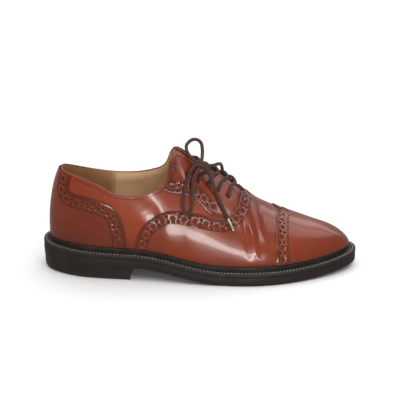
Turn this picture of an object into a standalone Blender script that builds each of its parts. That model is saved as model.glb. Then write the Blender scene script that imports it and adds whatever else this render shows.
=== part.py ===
"""A brogued oxford for the right foot, standing empty on its sole.

X runs to the toe, Y to the medial side and Z up, in metres. The origin is the centre of
the heel's flat bottom. The upper and its overlays are cut from one surface, the last:
ribs climb from the feather line on the welt to the topline, the lace closure or the crest.
A place on the last is a rib number, 0 at the back of the heel to LAST_RIB at the toe, and
a share of that rib's height.
"""

import bmesh
import bpy
import numpy as np

# Sole and heel
OUTSOLE_LENGTH = 0.301
BALL_WIDTH = 0.103
HEEL_REST = 0.042
HEEL_LENGTH = 0.0845
BREAST_FLARE = 0.0042
HEEL_BACK_HEIGHT = 0.0155
HEEL_BREAST_HEIGHT = 0.0125
HEEL_TAPER = 0.0010
TREAD_START = 0.177
TREAD_LENGTH = 0.036
TOE_SPRING = 0.0055
OUTSOLE_THICKNESS = 0.0078
WELT_THICKNESS = 0.0040
WELT_CHAMFER = 0.0007
WELT_SHOW = 0.0078
RIDGE_HEIGHT = 0.0045
RIDGE_WIDTH = 0.0015
INSOLE_RISE = 0.0012

# Upper
UPPER_HEIGHT = 0.116
COLLAR_HALF_WIDTH = 0.030
TOE_SWING = 0.0075
UPPER_WALL = 0.0022
OVERLAY_THICKNESS = 0.0012
CAP_THICKNESS = 0.0018
TONGUE_THICKNESS = 0.0020
TONGUE_GAP = 0.0017
TONGUE_REACH = 0.003
TONGUE_MIDDLE = 0.96
CAP_JOINT = 0.03
FOOT_EASING = 4.0

# Lacing
LACE_DIAMETER = 0.0030
BAR_LEAN = 0.75
BAR_REACH = 0.8
CROWN_RISE = 0.0004
AGLET_LENGTH = 0.014
AGLET_DIAMETER = 0.0030
KNOT_SIZE = (0.0115, 0.0080, 0.0065)
KNOT_PLACE = (9.13, 0.9)
LACE_CLEARANCE = 0.0008
CORD_STEP = 2.4

# Clearances
FIT_GAP = 0.0003
OVERLAY_GAP = 0.0007
FOOT_GAP = 0.0009

# Sole outline: share of OUTSOLE_LENGTH, then lateral and medial shares of BALL_WIDTH
OUTLINE_COLUMNS = ("along", "lateral", "medial")
OUTLINE = (
    (0.018, 0.160, 0.160),
    (0.050, 0.243, 0.243),
    (0.100, 0.320, 0.316),
    (0.190, 0.377, 0.358),
    (0.290, 0.408, 0.338),
    (0.390, 0.449, 0.312),
    (0.490, 0.495, 0.332),
    (0.580, 0.514, 0.405),
    (0.660, 0.517, 0.462),
    (0.740, 0.480, 0.488),
    (0.810, 0.413, 0.473),
    (0.870, 0.334, 0.426),
    (0.920, 0.247, 0.353),
    (0.960, 0.156, 0.265),
    (0.988, 0.063, 0.177),
)

# Ribs of the last. foot is a share of the side's sole outline, along a share of
# OUTSOLE_LENGTH, height a share of UPPER_HEIGHT, centre a share of TOE_SWING and opening a
# share of COLLAR_HALF_WIDTH. The pulls shape the rib: the foot's in shares of BALL_WIDTH
# outward, lateral then medial, and of UPPER_HEIGHT upward, the top's outward and downward.
RIB_COLUMNS = (
    "name", "foot", "along", "height", "centre", "opening",
    "foot_out_lateral", "foot_out_medial", "foot_up", "top_out", "top_drop",
)
RIBS = (
    ("heel back", 0.000, 0.060, 0.858, 0.00, 0.00, 0.020, 0.020, 0.207, 0.087, 0.155),
    ("heel corner", 0.045, 0.068, 0.855, 0.00, 0.36, 0.020, 0.020, 0.207, 0.078, 0.160),
    ("heel side", 0.110, 0.103, 0.845, 0.00, 0.68, 0.022, 0.022, 0.198, 0.055, 0.165),
    ("quarter back", 0.190, 0.170, 0.832, 0.00, 0.87, 0.022, 0.024, 0.190, 0.040, 0.168),
    ("ankle", 0.265, 0.246, 0.826, 0.00, 0.95, 0.022, 0.030, 0.181, 0.040, 0.168),
    ("ankle front", 0.335, 0.312, 0.838, 0.00, 0.92, 0.020, 0.040, 0.181, 0.060, 0.168),
    ("collar front", 0.400, 0.359, 0.882, 0.00, 0.74, 0.018, 0.050, 0.190, 0.095, 0.160),
    ("collar rise", 0.460, 0.392, 0.941, 0.00, 0.47, 0.016, 0.056, 0.198, 0.132, 0.140),
    ("facing tip", 0.520, 0.425, 1.000, 0.00, 0.27, 0.016, 0.056, 0.207, 0.145, 0.110),
    ("facing upper", 0.575, 0.485, 0.889, 0.07, 0.22, 0.018, 0.050, 0.207, 0.155, 0.080),
    ("facing middle", 0.630, 0.545, 0.806, 0.14, 0.13, 0.022, 0.042, 0.198, 0.170, 0.050),
    ("facing lower", 0.685, 0.602, 0.709, 0.24, 0.05, 0.026, 0.036, 0.190, 0.190, 0.025),
    ("throat end", 0.740, 0.652, 0.592, 0.33, 0.00, 0.028, 0.032, 0.181, 0.215, 0.000),
    ("vamp", 0.793, 0.704, 0.504, 0.43, 0.00, 0.028, 0.030, 0.168, 0.235, 0.000),
    ("cap edge", 0.845, 0.760, 0.440, 0.55, 0.00, 0.026, 0.028, 0.150, 0.235, 0.000),
    ("toe box", 0.898, 0.822, 0.381, 0.68, 0.00, 0.022, 0.024, 0.125, 0.220, 0.000),
    ("toe shoulder", 0.950, 0.872, 0.341, 0.82, 0.00, 0.016, 0.018, 0.095, 0.180, 0.000),
    ("toe", 1.000, 0.896, 0.319, 0.92, 0.00, 0.008, 0.008, 0.072, 0.135, 0.000),
)
LAST_RIB = len(RIBS) - 1
TIP_RIB = 8
CLOSURE_END = 11.4

# Topline: rib, then the share of its height at the lateral and the medial side
TOPLINE_COLUMNS = ("rib", "lateral", "medial")
TOPLINE = (
    (0.0, 1.000, 1.000),
    (1.0, 0.995, 0.965),
    (2.0, 0.980, 0.900),
    (3.0, 0.910, 0.835),
    (4.0, 0.770, 0.800),
    (5.0, 0.755, 0.800),
    (6.0, 0.757, 0.800),
    (6.7, 0.780, 0.830),
    (7.0, 0.820, 0.870),
    (7.4, 0.935, 0.945),
    (8.0, 1.000, 1.000),
)

# Edges of the overlays on the last, each a row of (rib, share of height)
COUNTER_EDGE = (
    (4.28, 0.00), (4.27, 0.20), (4.20, 0.34), (4.05, 0.50), (3.80, 0.60),
    (3.35, 0.67), (2.70, 0.71), (2.05, 0.73), (1.85, 0.78), (1.85, 0.88), (1.92, 0.975),
)
CAP_EDGE = (
    (11.38, 0.00), (11.45, 0.12), (11.67, 0.275), (11.97, 0.405), (12.31, 0.51),
    (13.05, 0.76), (13.75, 1.00),
)

# Vamp: columns from its wing's tip to the toe cap, each from the foot to the upper edge
VAMP_COLUMNS = ("foot rib", "top rib", "top height")
VAMP_ROWS = (
    (4.62, 4.66, 0.140),
    (4.85, 4.78, 0.270),
    (5.15, 5.00, 0.380),
    (5.55, 5.44, 0.475),
    (6.05, 6.00, 0.530),
    (6.60, 6.70, 0.530),
    (7.20, 7.30, 0.500),
    (7.80, 7.90, 0.470),
    (8.40, 8.70, 0.468),
    (8.95, 9.45, 0.483),
    (9.45, 9.95, 0.530),
    (9.85, 10.53, 0.630),
    (10.20, 10.97, 0.760),
    (10.36, 11.14, 0.825),
    (10.50, 11.30, 0.890),
    (10.75, 11.57, 1.000),
    (10.97, 12.30, 1.000),
    (11.17, 13.00, 1.000),
    (11.35, 13.72, 1.000),
)

# Facings: rows from the collar to the throat, each from the lower to the upper edge
FACING_COLUMNS = ("low rib", "low height", "high rib", "high height")
FACING_ROWS = (
    (6.55, 0.735, 6.70, 0.768),
    (6.95, 0.675, 6.98, 0.800),
    (7.30, 0.645, 7.38, 0.918),
    (7.66, 0.615, 7.95, 0.985),
    (8.00, 0.592, 8.60, 0.994),
    (8.32, 0.572, 9.20, 0.994),
    (8.99, 0.500, 9.80, 0.994),
    (9.72, 0.530, 10.35, 0.994),
    (10.33, 0.635, 10.80, 0.994),
    (10.75, 0.760, 11.10, 0.994),
    (11.10, 0.900, 11.30, 0.994),
)

# Tongue: rows from its free end to its root, the rib and the height of its side edges
TONGUE_ROWS = (
    (8.00, 0.86), (8.60, 0.80), (9.30, 0.78), (10.00, 0.76), (10.80, 0.76), (11.60, 0.78),
    (12.30, 0.82),
)

# Eyelets: rib and share of its height, the pair next to the knot first
EYELETS = ((8.38, 0.765), (8.85, 0.762), (9.34, 0.760), (9.84, 0.750), (10.28, 0.715))

# The tied lace. Points of the knot, loops and ends in millimetres, chosen by hand
KNOT_CENTRE = (108.3, -16.2, 106.3)
LOOP_LATERAL = (
    (102.6, -18.9, 106.8), (98.6, -23.4, 102.8), (96.4, -26.2, 97.6), (95.0, -28.2, 92.4),
    (93.4, -30.8, 86.4), (92.4, -33.0, 80.6), (91.9, -35.0, 75.4), (92.4, -36.9, 70.4),
    (93.9, -38.2, 66.8), (96.2, -38.9, 65.3), (98.6, -38.4, 67.0), (100.1, -37.0, 71.4),
    (100.7, -35.0, 76.4), (100.9, -32.9, 81.6), (100.9, -30.4, 87.0), (101.0, -28.0, 92.4),
    (101.8, -25.8, 97.2), (103.6, -23.4, 101.0), (105.9, -20.3, 104.7),
)
LOOP_MEDIAL = (
    (104.6, -14.0, 108.7), (99.4, -9.9, 112.0), (95.6, -4.5, 115.4), (94.4, 1.0, 119.6),
    (97.0, 5.0, 122.6), (101.0, 8.0, 124.0), (105.3, 8.8, 123.2), (108.6, 7.0, 120.4),
    (109.6, 3.2, 116.0), (109.6, -3.5, 111.9), (109.0, -12.7, 109.0),
)
END_LATERAL = (
    (114.0, -16.2, 103.4), (116.2, -17.6, 99.4), (118.0, -19.8, 94.8), (120.6, -22.8, 88.6),
    (123.7, -25.6, 81.8), (127.0, -29.7, 74.2), (131.0, -33.4, 66.8), (135.1, -37.2, 59.2),
    (139.6, -41.0, 50.5),
)
END_MEDIAL = (
    (113.2, -13.3, 105.5), (120.0, -6.8, 103.4), (124.6, 1.6, 102.0), (127.0, 9.0, 99.2),
    (128.2, 14.6, 95.3), (128.9, 19.8, 90.4), (129.7, 24.5, 83.2), (131.1, 28.0, 75.7),
    (133.4, 31.6, 67.8), (136.0, 35.0, 59.6), (138.7, 37.9, 51.1), (141.7, 40.6, 41.3),
)

# Faceting
OUTSOLE_STEPS = 38
HEEL_STEPS = 18
INSOLE_STEPS = 28
COUNTER_STEPS = 10
CAP_STEPS = 12
FACING_STRIPS = 6
TONGUE_STRIPS = 4
BAR_POINTS = 4
ROUTE_STEPS = 12
FINE_STEP = 0.001
OUTLINE_STEPS = 400
SHARP_ANGLE = 0.7
COLUMNS_PER_RIB = 2
FINE_RIBS = (6.75, 7.25, 9.25, 9.75, 10.25, 10.75, 11.25)
UPPER_ROWS = 10
EDGE_ROWS = 11
CROWDING = 1.3
RIB_TO_HEIGHT = 4.0

LEATHER = (0.27, 0.055, 0.018, 1.0)
LEATHER_DARK = (0.20, 0.038, 0.013, 1.0)
SOLE_BROWN = (0.032, 0.022, 0.018, 1.0)
WELT_BROWN = (0.045, 0.032, 0.025, 1.0)
LINING_TAN = (0.42, 0.23, 0.09, 1.0)
LACE_BROWN = (0.10, 0.062, 0.042, 1.0)
AGLET_BRASS = (0.55, 0.45, 0.30, 1.0)


def table_of(names, rows):
    """A table's columns by name, as arrays."""
    return {name: np.array(column) for name, column in zip(names, zip(*rows))}


class Loop:
    """A closed cubic curve through rows of values, each row at its own knot."""

    def __init__(self, knots, rows, period):
        self.period = period
        self.knots = np.append(knots, knots[0] + period)
        self.rows = np.vstack([rows, rows[:1]])
        steps = np.diff(self.knots)
        slopes = np.diff(self.rows, axis=0) / steps[:, None]
        count = len(steps)
        system = np.zeros((count, count))
        for row in range(count):
            system[row, row - 1] += steps[row - 1]
            system[row, row] += 2 * (steps[row - 1] + steps[row])
            system[row, (row + 1) % count] += steps[row]
        bends = np.linalg.solve(system, 6 * (slopes - np.roll(slopes, 1, axis=0)))
        self.bends = np.vstack([bends, bends[:1]])

    def at(self, where):
        """Values at a place or an array of places along the loop."""
        start = self.knots[0]
        where = start + np.mod(np.asarray(where, float) - start, self.period)
        left = np.searchsorted(self.knots, where, side="right") - 1
        left = np.clip(left, 0, len(self.knots) - 2)
        step = (self.knots[left + 1] - self.knots[left])[..., None]
        right_share = (where - self.knots[left])[..., None] / step
        left_share = 1 - right_share
        straight = left_share * self.rows[left] + right_share * self.rows[left + 1]
        bent = (left_share**3 - left_share) * self.bends[left]
        bent = bent + (right_share**3 - right_share) * self.bends[left + 1]
        return straight + bent * step**2 / 6


def eased(knots, values, where):
    """Values of a smooth curve through (knots, values) that never overshoots them."""
    knots = np.asarray(knots, float)
    values = np.asarray(values, float)
    steps = np.diff(knots)
    slopes = np.diff(values) / steps
    ends = np.zeros(len(knots))
    ends[0], ends[-1] = slopes[0], slopes[-1]
    same = slopes[:-1] * slopes[1:] > 0
    both = np.where(same, slopes[:-1] + slopes[1:], 1.0)
    ends[1:-1] = np.where(same, 2 * slopes[:-1] * slopes[1:] / both, 0.0)
    where = np.clip(np.asarray(where, float), knots[0], knots[-1])
    left = np.clip(np.searchsorted(knots, where, side="right") - 1, 0, len(steps) - 1)
    step = steps[left]
    share = (where - knots[left]) / step
    rise = share**2 * (3 - 2 * share)
    start_pull = share * (1 - share) ** 2 * step * ends[left]
    end_pull = share**2 * (share - 1) * step * ends[left + 1]
    return values[left] * (1 - rise) + values[left + 1] * rise + start_pull + end_pull


def crowded(count):
    """Shares from 0 to 1 whose steps shorten towards 1, where the last bends most."""
    return 1 - (1 - np.linspace(0, 1, count)) ** CROWDING


def through(rows, shares):
    """Places at shares of the way along a smooth edge through (rib, height) rows."""
    rows = np.asarray(rows, float)
    steps = np.diff(rows, axis=0) * np.array([1.0, RIB_TO_HEIGHT])
    knots = np.append(0.0, np.cumsum(np.linalg.norm(steps, axis=1)))
    at = knots[-1] * shares
    return np.stack([eased(knots, column, at) for column in rows.T], axis=1)


def route(points, spacing):
    """Points at even steps along a smooth line through a cord's own points."""
    points = np.asarray(points, float)
    ends = np.vstack([2 * points[0] - points[1], points, 2 * points[-1] - points[-2]])
    share = np.linspace(0, 1, ROUTE_STEPS, endpoint=False)[:, None]
    rise = share**2 * (3 - 2 * share)
    fine = []
    for before, start, end, after in zip(ends, ends[1:], ends[2:], ends[3:]):
        start_pull = share * (1 - share) ** 2 * (end - before) / 2
        end_pull = share**2 * (share - 1) * (after - start) / 2
        fine.append(start * (1 - rise) + end * rise + start_pull + end_pull)
    fine = np.vstack([*fine, points[-1:]])
    lengths = np.append(0.0, np.cumsum(np.linalg.norm(np.diff(fine, axis=0), axis=1)))
    count = max(3, int(round(lengths[-1] / spacing)) + 1)
    at = np.linspace(0, lengths[-1], count)
    return np.stack([np.interp(at, lengths, column) for column in fine.T], axis=1)


def sole_loop():
    """The sole outline as a loop: 0 at the heel's back, 1 at the toe, lateral side first."""
    back = np.array([[-HEEL_REST, 0.0]])
    tip = np.array([[OUTSOLE_LENGTH - HEEL_REST, TOE_SWING]])
    table = table_of(OUTLINE_COLUMNS, OUTLINE)
    along = table["along"] * OUTSOLE_LENGTH - HEEL_REST
    lateral = np.stack([along, -table["lateral"] * BALL_WIDTH], axis=1)
    medial = np.stack([along, table["medial"] * BALL_WIDTH], axis=1)[::-1]
    out = np.vstack([back, lateral, tip])
    home = np.vstack([tip, medial, back])
    knots_out = np.append(0, np.cumsum(np.linalg.norm(np.diff(out, axis=0), axis=1)))
    knots_home = np.append(0, np.cumsum(np.linalg.norm(np.diff(home, axis=0), axis=1)))
    knots = np.concatenate([
        knots_out[:-1] / knots_out[-1], 1 + knots_home[:-1] / knots_home[-1]
    ])
    return Loop(knots, np.vstack([out[:-1], home[:-1]]), 2.0)


SOLE = sole_loop()


def outline_normal(place):
    """Outward normals of the sole outline at places along its loop."""
    reach = 0.002
    run = SOLE.at(np.asarray(place) + reach) - SOLE.at(np.asarray(place) - reach)
    normal = np.stack([run[..., 1], -run[..., 0]], axis=-1)
    return normal / np.linalg.norm(normal, axis=-1, keepdims=True)


def inset_outline(place, inset):
    """Points of the sole outline moved inward."""
    return SOLE.at(place) - inset * outline_normal(place)


def sole_bottom(x):
    """Height of the outsole's underside: heel seat, waist, flat tread and toe spring."""
    along = np.asarray(x, float) + HEEL_REST
    seat_share = np.clip(1 - along / HEEL_LENGTH, 0, 1)
    seat = HEEL_BREAST_HEIGHT + (HEEL_BACK_HEIGHT - HEEL_BREAST_HEIGHT) * seat_share**1.5
    waist = np.clip((along - HEEL_LENGTH) / (TREAD_START - HEEL_LENGTH), 0, 1)
    waist_height = HEEL_BREAST_HEIGHT * (0.5 + 0.5 * np.cos(np.pi * waist))
    spring_start = TREAD_START + TREAD_LENGTH
    spring = np.clip((along - spring_start) / (OUTSOLE_LENGTH - spring_start), 0, 1)
    return np.where(along < HEEL_LENGTH, seat, waist_height + TOE_SPRING * spring**2)


def outsole_top(x):
    """Height of the outsole's upper face."""
    return sole_bottom(x) + OUTSOLE_THICKNESS


def welt_top(x):
    """Height of the welt's upper face."""
    return outsole_top(x) + FIT_GAP + WELT_THICKNESS


def rib_loop():
    """The ribs' even columns as a loop, lateral side first, one unit for each rib."""
    table = table_of(RIB_COLUMNS, RIBS)
    numbers = np.arange(LAST_RIB + 1)
    drift = table["foot"] - numbers / LAST_RIB
    shared = [table["along"], table["height"], table["foot_up"], table["top_out"]]
    lateral = np.stack([drift, table["foot_out_lateral"], *shared], axis=1)
    medial = np.stack([-drift, table["foot_out_medial"], *shared], axis=1)[1:-1][::-1]
    rows = np.vstack([lateral, medial])
    return table, Loop(np.arange(len(rows), dtype=float), rows, float(len(rows)))


RIB_TABLE, RIB_LOOP = rib_loop()
ROUND = 2.0 * LAST_RIB


def folded(place):
    """Rib number and side, -1 lateral or 1 medial, of places along the rib loop."""
    place = np.mod(np.asarray(place, float), ROUND)
    lateral = place <= LAST_RIB
    return np.where(lateral, place, ROUND - place), np.where(lateral, -1.0, 1.0)


def place_of(side, rib):
    """Place along the rib loop of a rib number on a side."""
    return np.asarray(rib, float) if side < 0 else ROUND - np.asarray(rib, float)


def foot_share(place):
    """Share of the sole's outline at which a rib stands."""
    return RIB_LOOP.at(place)[..., 0] + np.mod(place, ROUND) / LAST_RIB


def opening(rib):
    """Half the width between the two sides at the top of a rib."""
    ribs = np.arange(LAST_RIB + 1)
    open_ribs = ribs < CLOSURE_END
    knots = np.append(ribs[open_ribs], CLOSURE_END)
    return eased(knots, np.append(RIB_TABLE["opening"][open_ribs], 0.0), rib) * COLLAR_HALF_WIDTH


def crest(rib):
    """Points of the line that the ribs climb to, at the middle of the opening."""
    column = RIB_LOOP.at(rib)
    centre = eased(range(LAST_RIB + 1), RIB_TABLE["centre"], rib) * TOE_SWING
    along = column[..., 2] * OUTSOLE_LENGTH - HEEL_REST
    return np.stack([along, centre, column[..., 3] * UPPER_HEIGHT], axis=-1)


def crest_run(rib):
    """Direction of the crest in its vertical plane."""
    rib = np.asarray(rib, float)
    reach = 0.05
    ahead = crest(np.minimum(rib + reach, LAST_RIB))
    run = ahead - crest(np.maximum(rib - reach, 0.0))
    run[..., 1] = 0.0
    run = run / np.linalg.norm(run, axis=-1, keepdims=True)
    share = np.clip((rib - TIP_RIB + 2) / 2, 0, 1)[..., None]
    run = share * run + (1 - share) * np.array([1.0, 0.0, 0.0])
    return run / np.linalg.norm(run, axis=-1, keepdims=True)


def crest_normal(rib):
    """Upward normal of the crest in its vertical plane."""
    run = crest_run(rib)
    return np.stack([-run[..., 2], np.zeros_like(run[..., 1]), run[..., 0]], axis=-1)


def last(place, height):
    """Points of the last at places along the rib loop and shares of the ribs' heights."""
    rib, side = folded(place)
    column = RIB_LOOP.at(place)
    foot_at = foot_share(place)
    normal = outline_normal(foot_at)
    foot_xy = inset_outline(foot_at, WELT_SHOW)
    foot = np.stack([foot_xy[..., 0], foot_xy[..., 1], welt_top(foot_xy[..., 0]) + FIT_GAP], -1)
    out = (column[..., 1] * BALL_WIDTH)[..., None]
    up = (column[..., 4] * UPPER_HEIGHT)[..., None]
    flat_normal = np.concatenate([normal, np.zeros_like(normal[..., :1])], axis=-1)
    rise = np.array([0.0, 0.0, 1.0])
    foot_pull = foot + out * flat_normal + up * rise
    drop = (eased(range(LAST_RIB + 1), RIB_TABLE["top_drop"], rib) * UPPER_HEIGHT)[..., None]
    across = np.array([0.0, 1.0, 0.0])
    top = crest(rib) + (side * opening(rib))[..., None] * across
    spread = normal[..., 1:] * across + normal[..., :1] * crest_run(rib)
    top_pull = top + (column[..., 5] * BALL_WIDTH)[..., None] * spread - drop * rise
    share = np.asarray(height, float)[..., None]
    rest = 1 - share
    return (rest**3 * foot + 3 * rest**2 * share * foot_pull
            + 3 * rest * share**2 * top_pull + share**3 * top)


def last_normal(place, height):
    """Outward normals of the last."""
    place = np.asarray(place, float)
    height = np.asarray(height, float)
    reach = 0.02
    high = np.minimum(height + reach, 1.0)
    low = np.maximum(high - 2 * reach, 0.0)
    run = last(place + reach, height) - last(place - reach, height)
    climb = last(place, high) - last(place, low)
    normal = np.cross(run, climb)
    normal = normal / np.maximum(np.linalg.norm(normal, axis=-1, keepdims=True), 1e-12)
    rib, _ = folded(place)
    on_crest = ((height > 1 - 1e-6) & (rib > CLOSURE_END - 1e-6))[..., None]
    return np.where(on_crest, crest_normal(rib), normal)


def off_last(place, height, distance):
    """Points at a distance outside the last."""
    return last(place, height) + distance * last_normal(place, height)


def topline(rib, side):
    """Share of a rib's height at which the upper ends."""
    table = table_of(TOPLINE_COLUMNS, TOPLINE)
    return eased(table["rib"], table["lateral" if side < 0 else "medial"], rib)


def climb(place, rise):
    """Share of a rib's height that lies a rise above its foot."""
    low = np.zeros(np.shape(place))
    high = np.ones(np.shape(place))
    foot = last(place, low)[..., 2]
    for _ in range(20):
        middle = (low + high) / 2
        above = last(place, middle)[..., 2] - foot > rise
        high = np.where(above, middle, high)
        low = np.where(above, low, middle)
    return high


def overlay_foot(place):
    """Share of a rib's height that clears the welt's ridge."""
    return climb(place, RIDGE_HEIGHT + FOOT_GAP)


def material(name, colour, roughness, metallic=0.0):
    """A plain material, made once for each name."""
    made = bpy.data.materials.get(name) or bpy.data.materials.new(name)
    made.use_nodes = True
    shader = made.node_tree.nodes["Principled BSDF"]
    shader.inputs["Base Color"].default_value = colour
    shader.inputs["Roughness"].default_value = roughness
    shader.inputs["Metallic"].default_value = metallic
    made.diffuse_color = colour
    return made


def finish_mesh(name, mesh, looks, collection):
    """An object of a finished bmesh, smooth shaded, in the shoe's collection."""
    bmesh.ops.remove_doubles(mesh, verts=mesh.verts, dist=0.00002)
    data = bpy.data.meshes.new(name)
    mesh.to_mesh(data)
    mesh.free()
    data.shade_smooth()
    data.set_sharp_from_angle(angle=SHARP_ANGLE)
    data.materials.append(looks)
    piece = bpy.data.objects.new(name, data)
    collection.objects.link(piece)
    return piece


def add_grid(mesh, grid):
    """Faces between the rows and columns of a grid of points."""
    rows = [[mesh.verts.new(point) for point in row] for row in grid]
    for low, high in zip(rows, rows[1:]):
        for left in range(len(low) - 1):
            mesh.faces.new((low[left], high[left], high[left + 1], low[left + 1]))


def sheet(name, grids, thickness, outward, looks, collection):
    """A sheet of leather: grids of points on the last, given a wall with Solidify."""
    mesh = bmesh.new()
    for grid in grids:
        add_grid(mesh, grid)
    piece = finish_mesh(name, mesh, looks, collection)
    wall = piece.modifiers.new("Wall", "SOLIDIFY")
    wall.thickness = thickness
    wall.offset = 1.0 if outward else -1.0
    wall.use_even_offset = True
    return piece


def slab(name, levels, count, looks, collection):
    """A solid with a sole's outline, one ring of points for each level.

    A level is (height function, inset, end share): the outline runs from the heel's back
    to its end share on both sides, and a strip joins the two sides at every step.
    """
    mesh = bmesh.new()
    steps = np.linspace(0, 1, count)
    rings = []
    for height, inset, end in levels:
        shares = end * steps
        lateral = inset_outline(shares, inset)
        medial = inset_outline(2.0 - shares, inset)
        points = np.vstack([lateral, medial[1:][::-1] if end < 1 else medial[1:-1][::-1]])
        z = height(points[:, 0])
        rings.append([mesh.verts.new((x, y, up)) for (x, y), up in zip(points, z)])
    around = len(rings[0])
    for low, high in zip(rings, rings[1:]):
        for at in range(around):
            beside = (at + 1) % around
            mesh.faces.new((low[at], low[beside], high[beside], high[at]))
    for ring, up in ((rings[0], False), (rings[-1], True)):
        for at in range(count - 1):
            ahead = at + 1
            corners = [ring[at], ring[ahead], ring[(around - ahead) % around],
                       ring[(around - at) % around]]
            corners = list(dict.fromkeys(corners))
            if len(corners) > 2:
                mesh.faces.new(corners if up else corners[::-1])
    bmesh.ops.triangulate(mesh, faces=[face for face in mesh.faces if len(face.verts) > 3])
    bmesh.ops.recalc_face_normals(mesh, faces=mesh.faces)
    return finish_mesh(name, mesh, looks, collection)


def share_at(along):
    """Share of the sole's side at which the outline passes a distance from the back."""
    shares = np.linspace(0, 1, OUTLINE_STEPS)
    return float(np.interp(along, SOLE.at(shares)[:, 0] + HEEL_REST, shares))


def floor_height(x):
    """Height of the floor."""
    return np.zeros_like(x)


def heel_top(x):
    """Height of the heel's upper face."""
    return sole_bottom(x) - FIT_GAP


def heel_curve(x):
    """Height at which the heel's breast bends."""
    return 0.6 * heel_top(x)


def insole_bottom(x):
    """Height of the insole's underside."""
    return outsole_top(x) + FIT_GAP


def insole_top(x):
    """Height of the insole's upper face."""
    return welt_top(x) + INSOLE_RISE


def make_heel(collection):
    """The heel block, flat below and hollowed at its breast."""
    levels = (
        (floor_height, HEEL_TAPER, share_at(HEEL_LENGTH)),
        (heel_curve, HEEL_TAPER / 2, share_at(HEEL_LENGTH + BREAST_FLARE / 3)),
        (heel_top, 0.0, share_at(HEEL_LENGTH + BREAST_FLARE)),
    )
    slab("heel", levels, HEEL_STEPS, material("heel rubber", SOLE_BROWN, 0.5), collection)


def make_outsole(collection):
    """The outsole, from heel seat to toe."""
    levels = ((sole_bottom, 0.0, 1.0), (outsole_top, 0.0, 1.0))
    looks = material("outsole rubber", SOLE_BROWN, 0.5)
    slab("outsole", levels, OUTSOLE_STEPS, looks, collection)


def make_insole(collection):
    """The insole inside the upper's foot."""
    inset = WELT_SHOW + UPPER_WALL + FIT_GAP
    levels = ((insole_bottom, inset, 1.0), (insole_top, inset, 1.0))
    looks = material("insole leather", LINING_TAN, 0.6)
    slab("insole", levels, INSOLE_STEPS, looks, collection)


def make_welt(collection):
    """The welt around the sole, with the ridge that rises against the upper."""
    places = np.arange(0, ROUND, 1 / COLUMNS_PER_RIB)
    shares = foot_share(places)
    flat_section = (
        (WELT_SHOW + UPPER_WALL, 0.0), (0.0, 0.0), (0.0, WELT_THICKNESS - WELT_CHAMFER),
        (WELT_CHAMFER, WELT_THICKNESS), (WELT_SHOW - FIT_GAP - RIDGE_WIDTH, WELT_THICKNESS),
    )
    back_section = (
        (WELT_SHOW - FIT_GAP, WELT_THICKNESS), (WELT_SHOW + UPPER_WALL, WELT_THICKNESS),
    )
    ridge_top = climb(places, RIDGE_HEIGHT)
    ridge_half = climb(places, RIDGE_HEIGHT / 2)
    ridge = [off_last(places, ridge_top, FIT_GAP + RIDGE_WIDTH),
             off_last(places, ridge_top, FIT_GAP), off_last(places, ridge_half, FIT_GAP)]
    rings = []
    for section in (flat_section, back_section):
        for inset, up in section:
            points = inset_outline(shares, inset)
            z = outsole_top(points[:, 0]) + FIT_GAP + up
            rings.append(np.column_stack([points, z]))
        if section is flat_section:
            rings.extend(ridge)
    mesh = bmesh.new()
    rings = [[mesh.verts.new(point) for point in ring] for ring in rings]
    for near, far in zip(rings, rings[1:] + rings[:1]):
        for at in range(len(places)):
            beside = (at + 1) % len(places)
            mesh.faces.new((near[at], near[beside], far[beside], far[at]))
    bmesh.ops.recalc_face_normals(mesh, faces=mesh.faces)
    finish_mesh("welt", mesh, material("welt leather", WELT_BROWN, 0.55), collection)


def make_upper(collection):
    """The hollow upper: quarters, lace closure and vamp in one wall, open below."""
    even = np.linspace(0, LAST_RIB, LAST_RIB * COLUMNS_PER_RIB + 1)
    ribs = np.union1d(even, FINE_RIBS + (CLOSURE_END,))
    places = np.append(ribs, (ROUND - ribs[:-1])[::-1])
    ribs, sides = folded(places)
    tops = np.array([topline(rib, side) for rib, side in zip(ribs, sides)])
    heights = crowded(UPPER_ROWS + 1)[None, :] * tops[:, None]
    grid = last(np.repeat(places[:, None], UPPER_ROWS + 1, axis=1), heights)
    looks = material("upper leather", LEATHER, 0.38)
    sheet("upper", [grid], UPPER_WALL, False, looks, collection)


def over_last(side, places):
    """The grid of an overlay's (rib, height) places, which follow each side's topline."""
    ribs = places[..., 0]
    heights = places[..., 1] * topline(ribs, side) / topline(ribs, -1)
    grid = off_last(place_of(side, ribs), heights, OVERLAY_GAP)
    return grid if side < 0 else grid[::-1]


def ruled(start, end, shares):
    """Places between two edges, each a list of (rib, height) places."""
    shares = shares[:, None, None]
    return (1 - shares) * start[None] + shares * end[None]


def patch(low, high, first, final, shares):
    """Places inside four edges: low to high by shares, with edges first and final at its ends."""
    up = shares[:, None, None]
    along = np.linspace(0, 1, len(low))[None, :, None]
    corners = (1 - up) * ((1 - along) * low[0] + along * low[-1])
    corners = corners + up * ((1 - along) * high[0] + along * high[-1])
    across = (1 - up) * low[None] + up * high[None]
    upward = (1 - along) * first[:, None] + along * final[:, None]
    return across + upward - corners


def edge_places(rows, shares):
    """Places along an overlay's edge, its foot lifted over the welt's ridge."""
    places = through(rows, shares)
    foot = overlay_foot(places[0, 0])
    lift = foot * np.clip(1 - places[:, 1] / (FOOT_EASING * foot), 0, 1)
    places[:, 1] = places[:, 1] + lift
    return places


def rib_places(rib, top, shares):
    """Places up one rib, from over the welt's ridge to a share of its height."""
    foot = overlay_foot(rib)
    return np.stack([np.full(len(shares), float(rib)), foot + (top - foot) * shares], axis=1)


def foot_line(start, end, count):
    """Places along an overlay's lower edge, over the welt's ridge."""
    ribs = np.linspace(start, end, count)
    return np.stack([ribs, overlay_foot(ribs)], axis=1)


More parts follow.
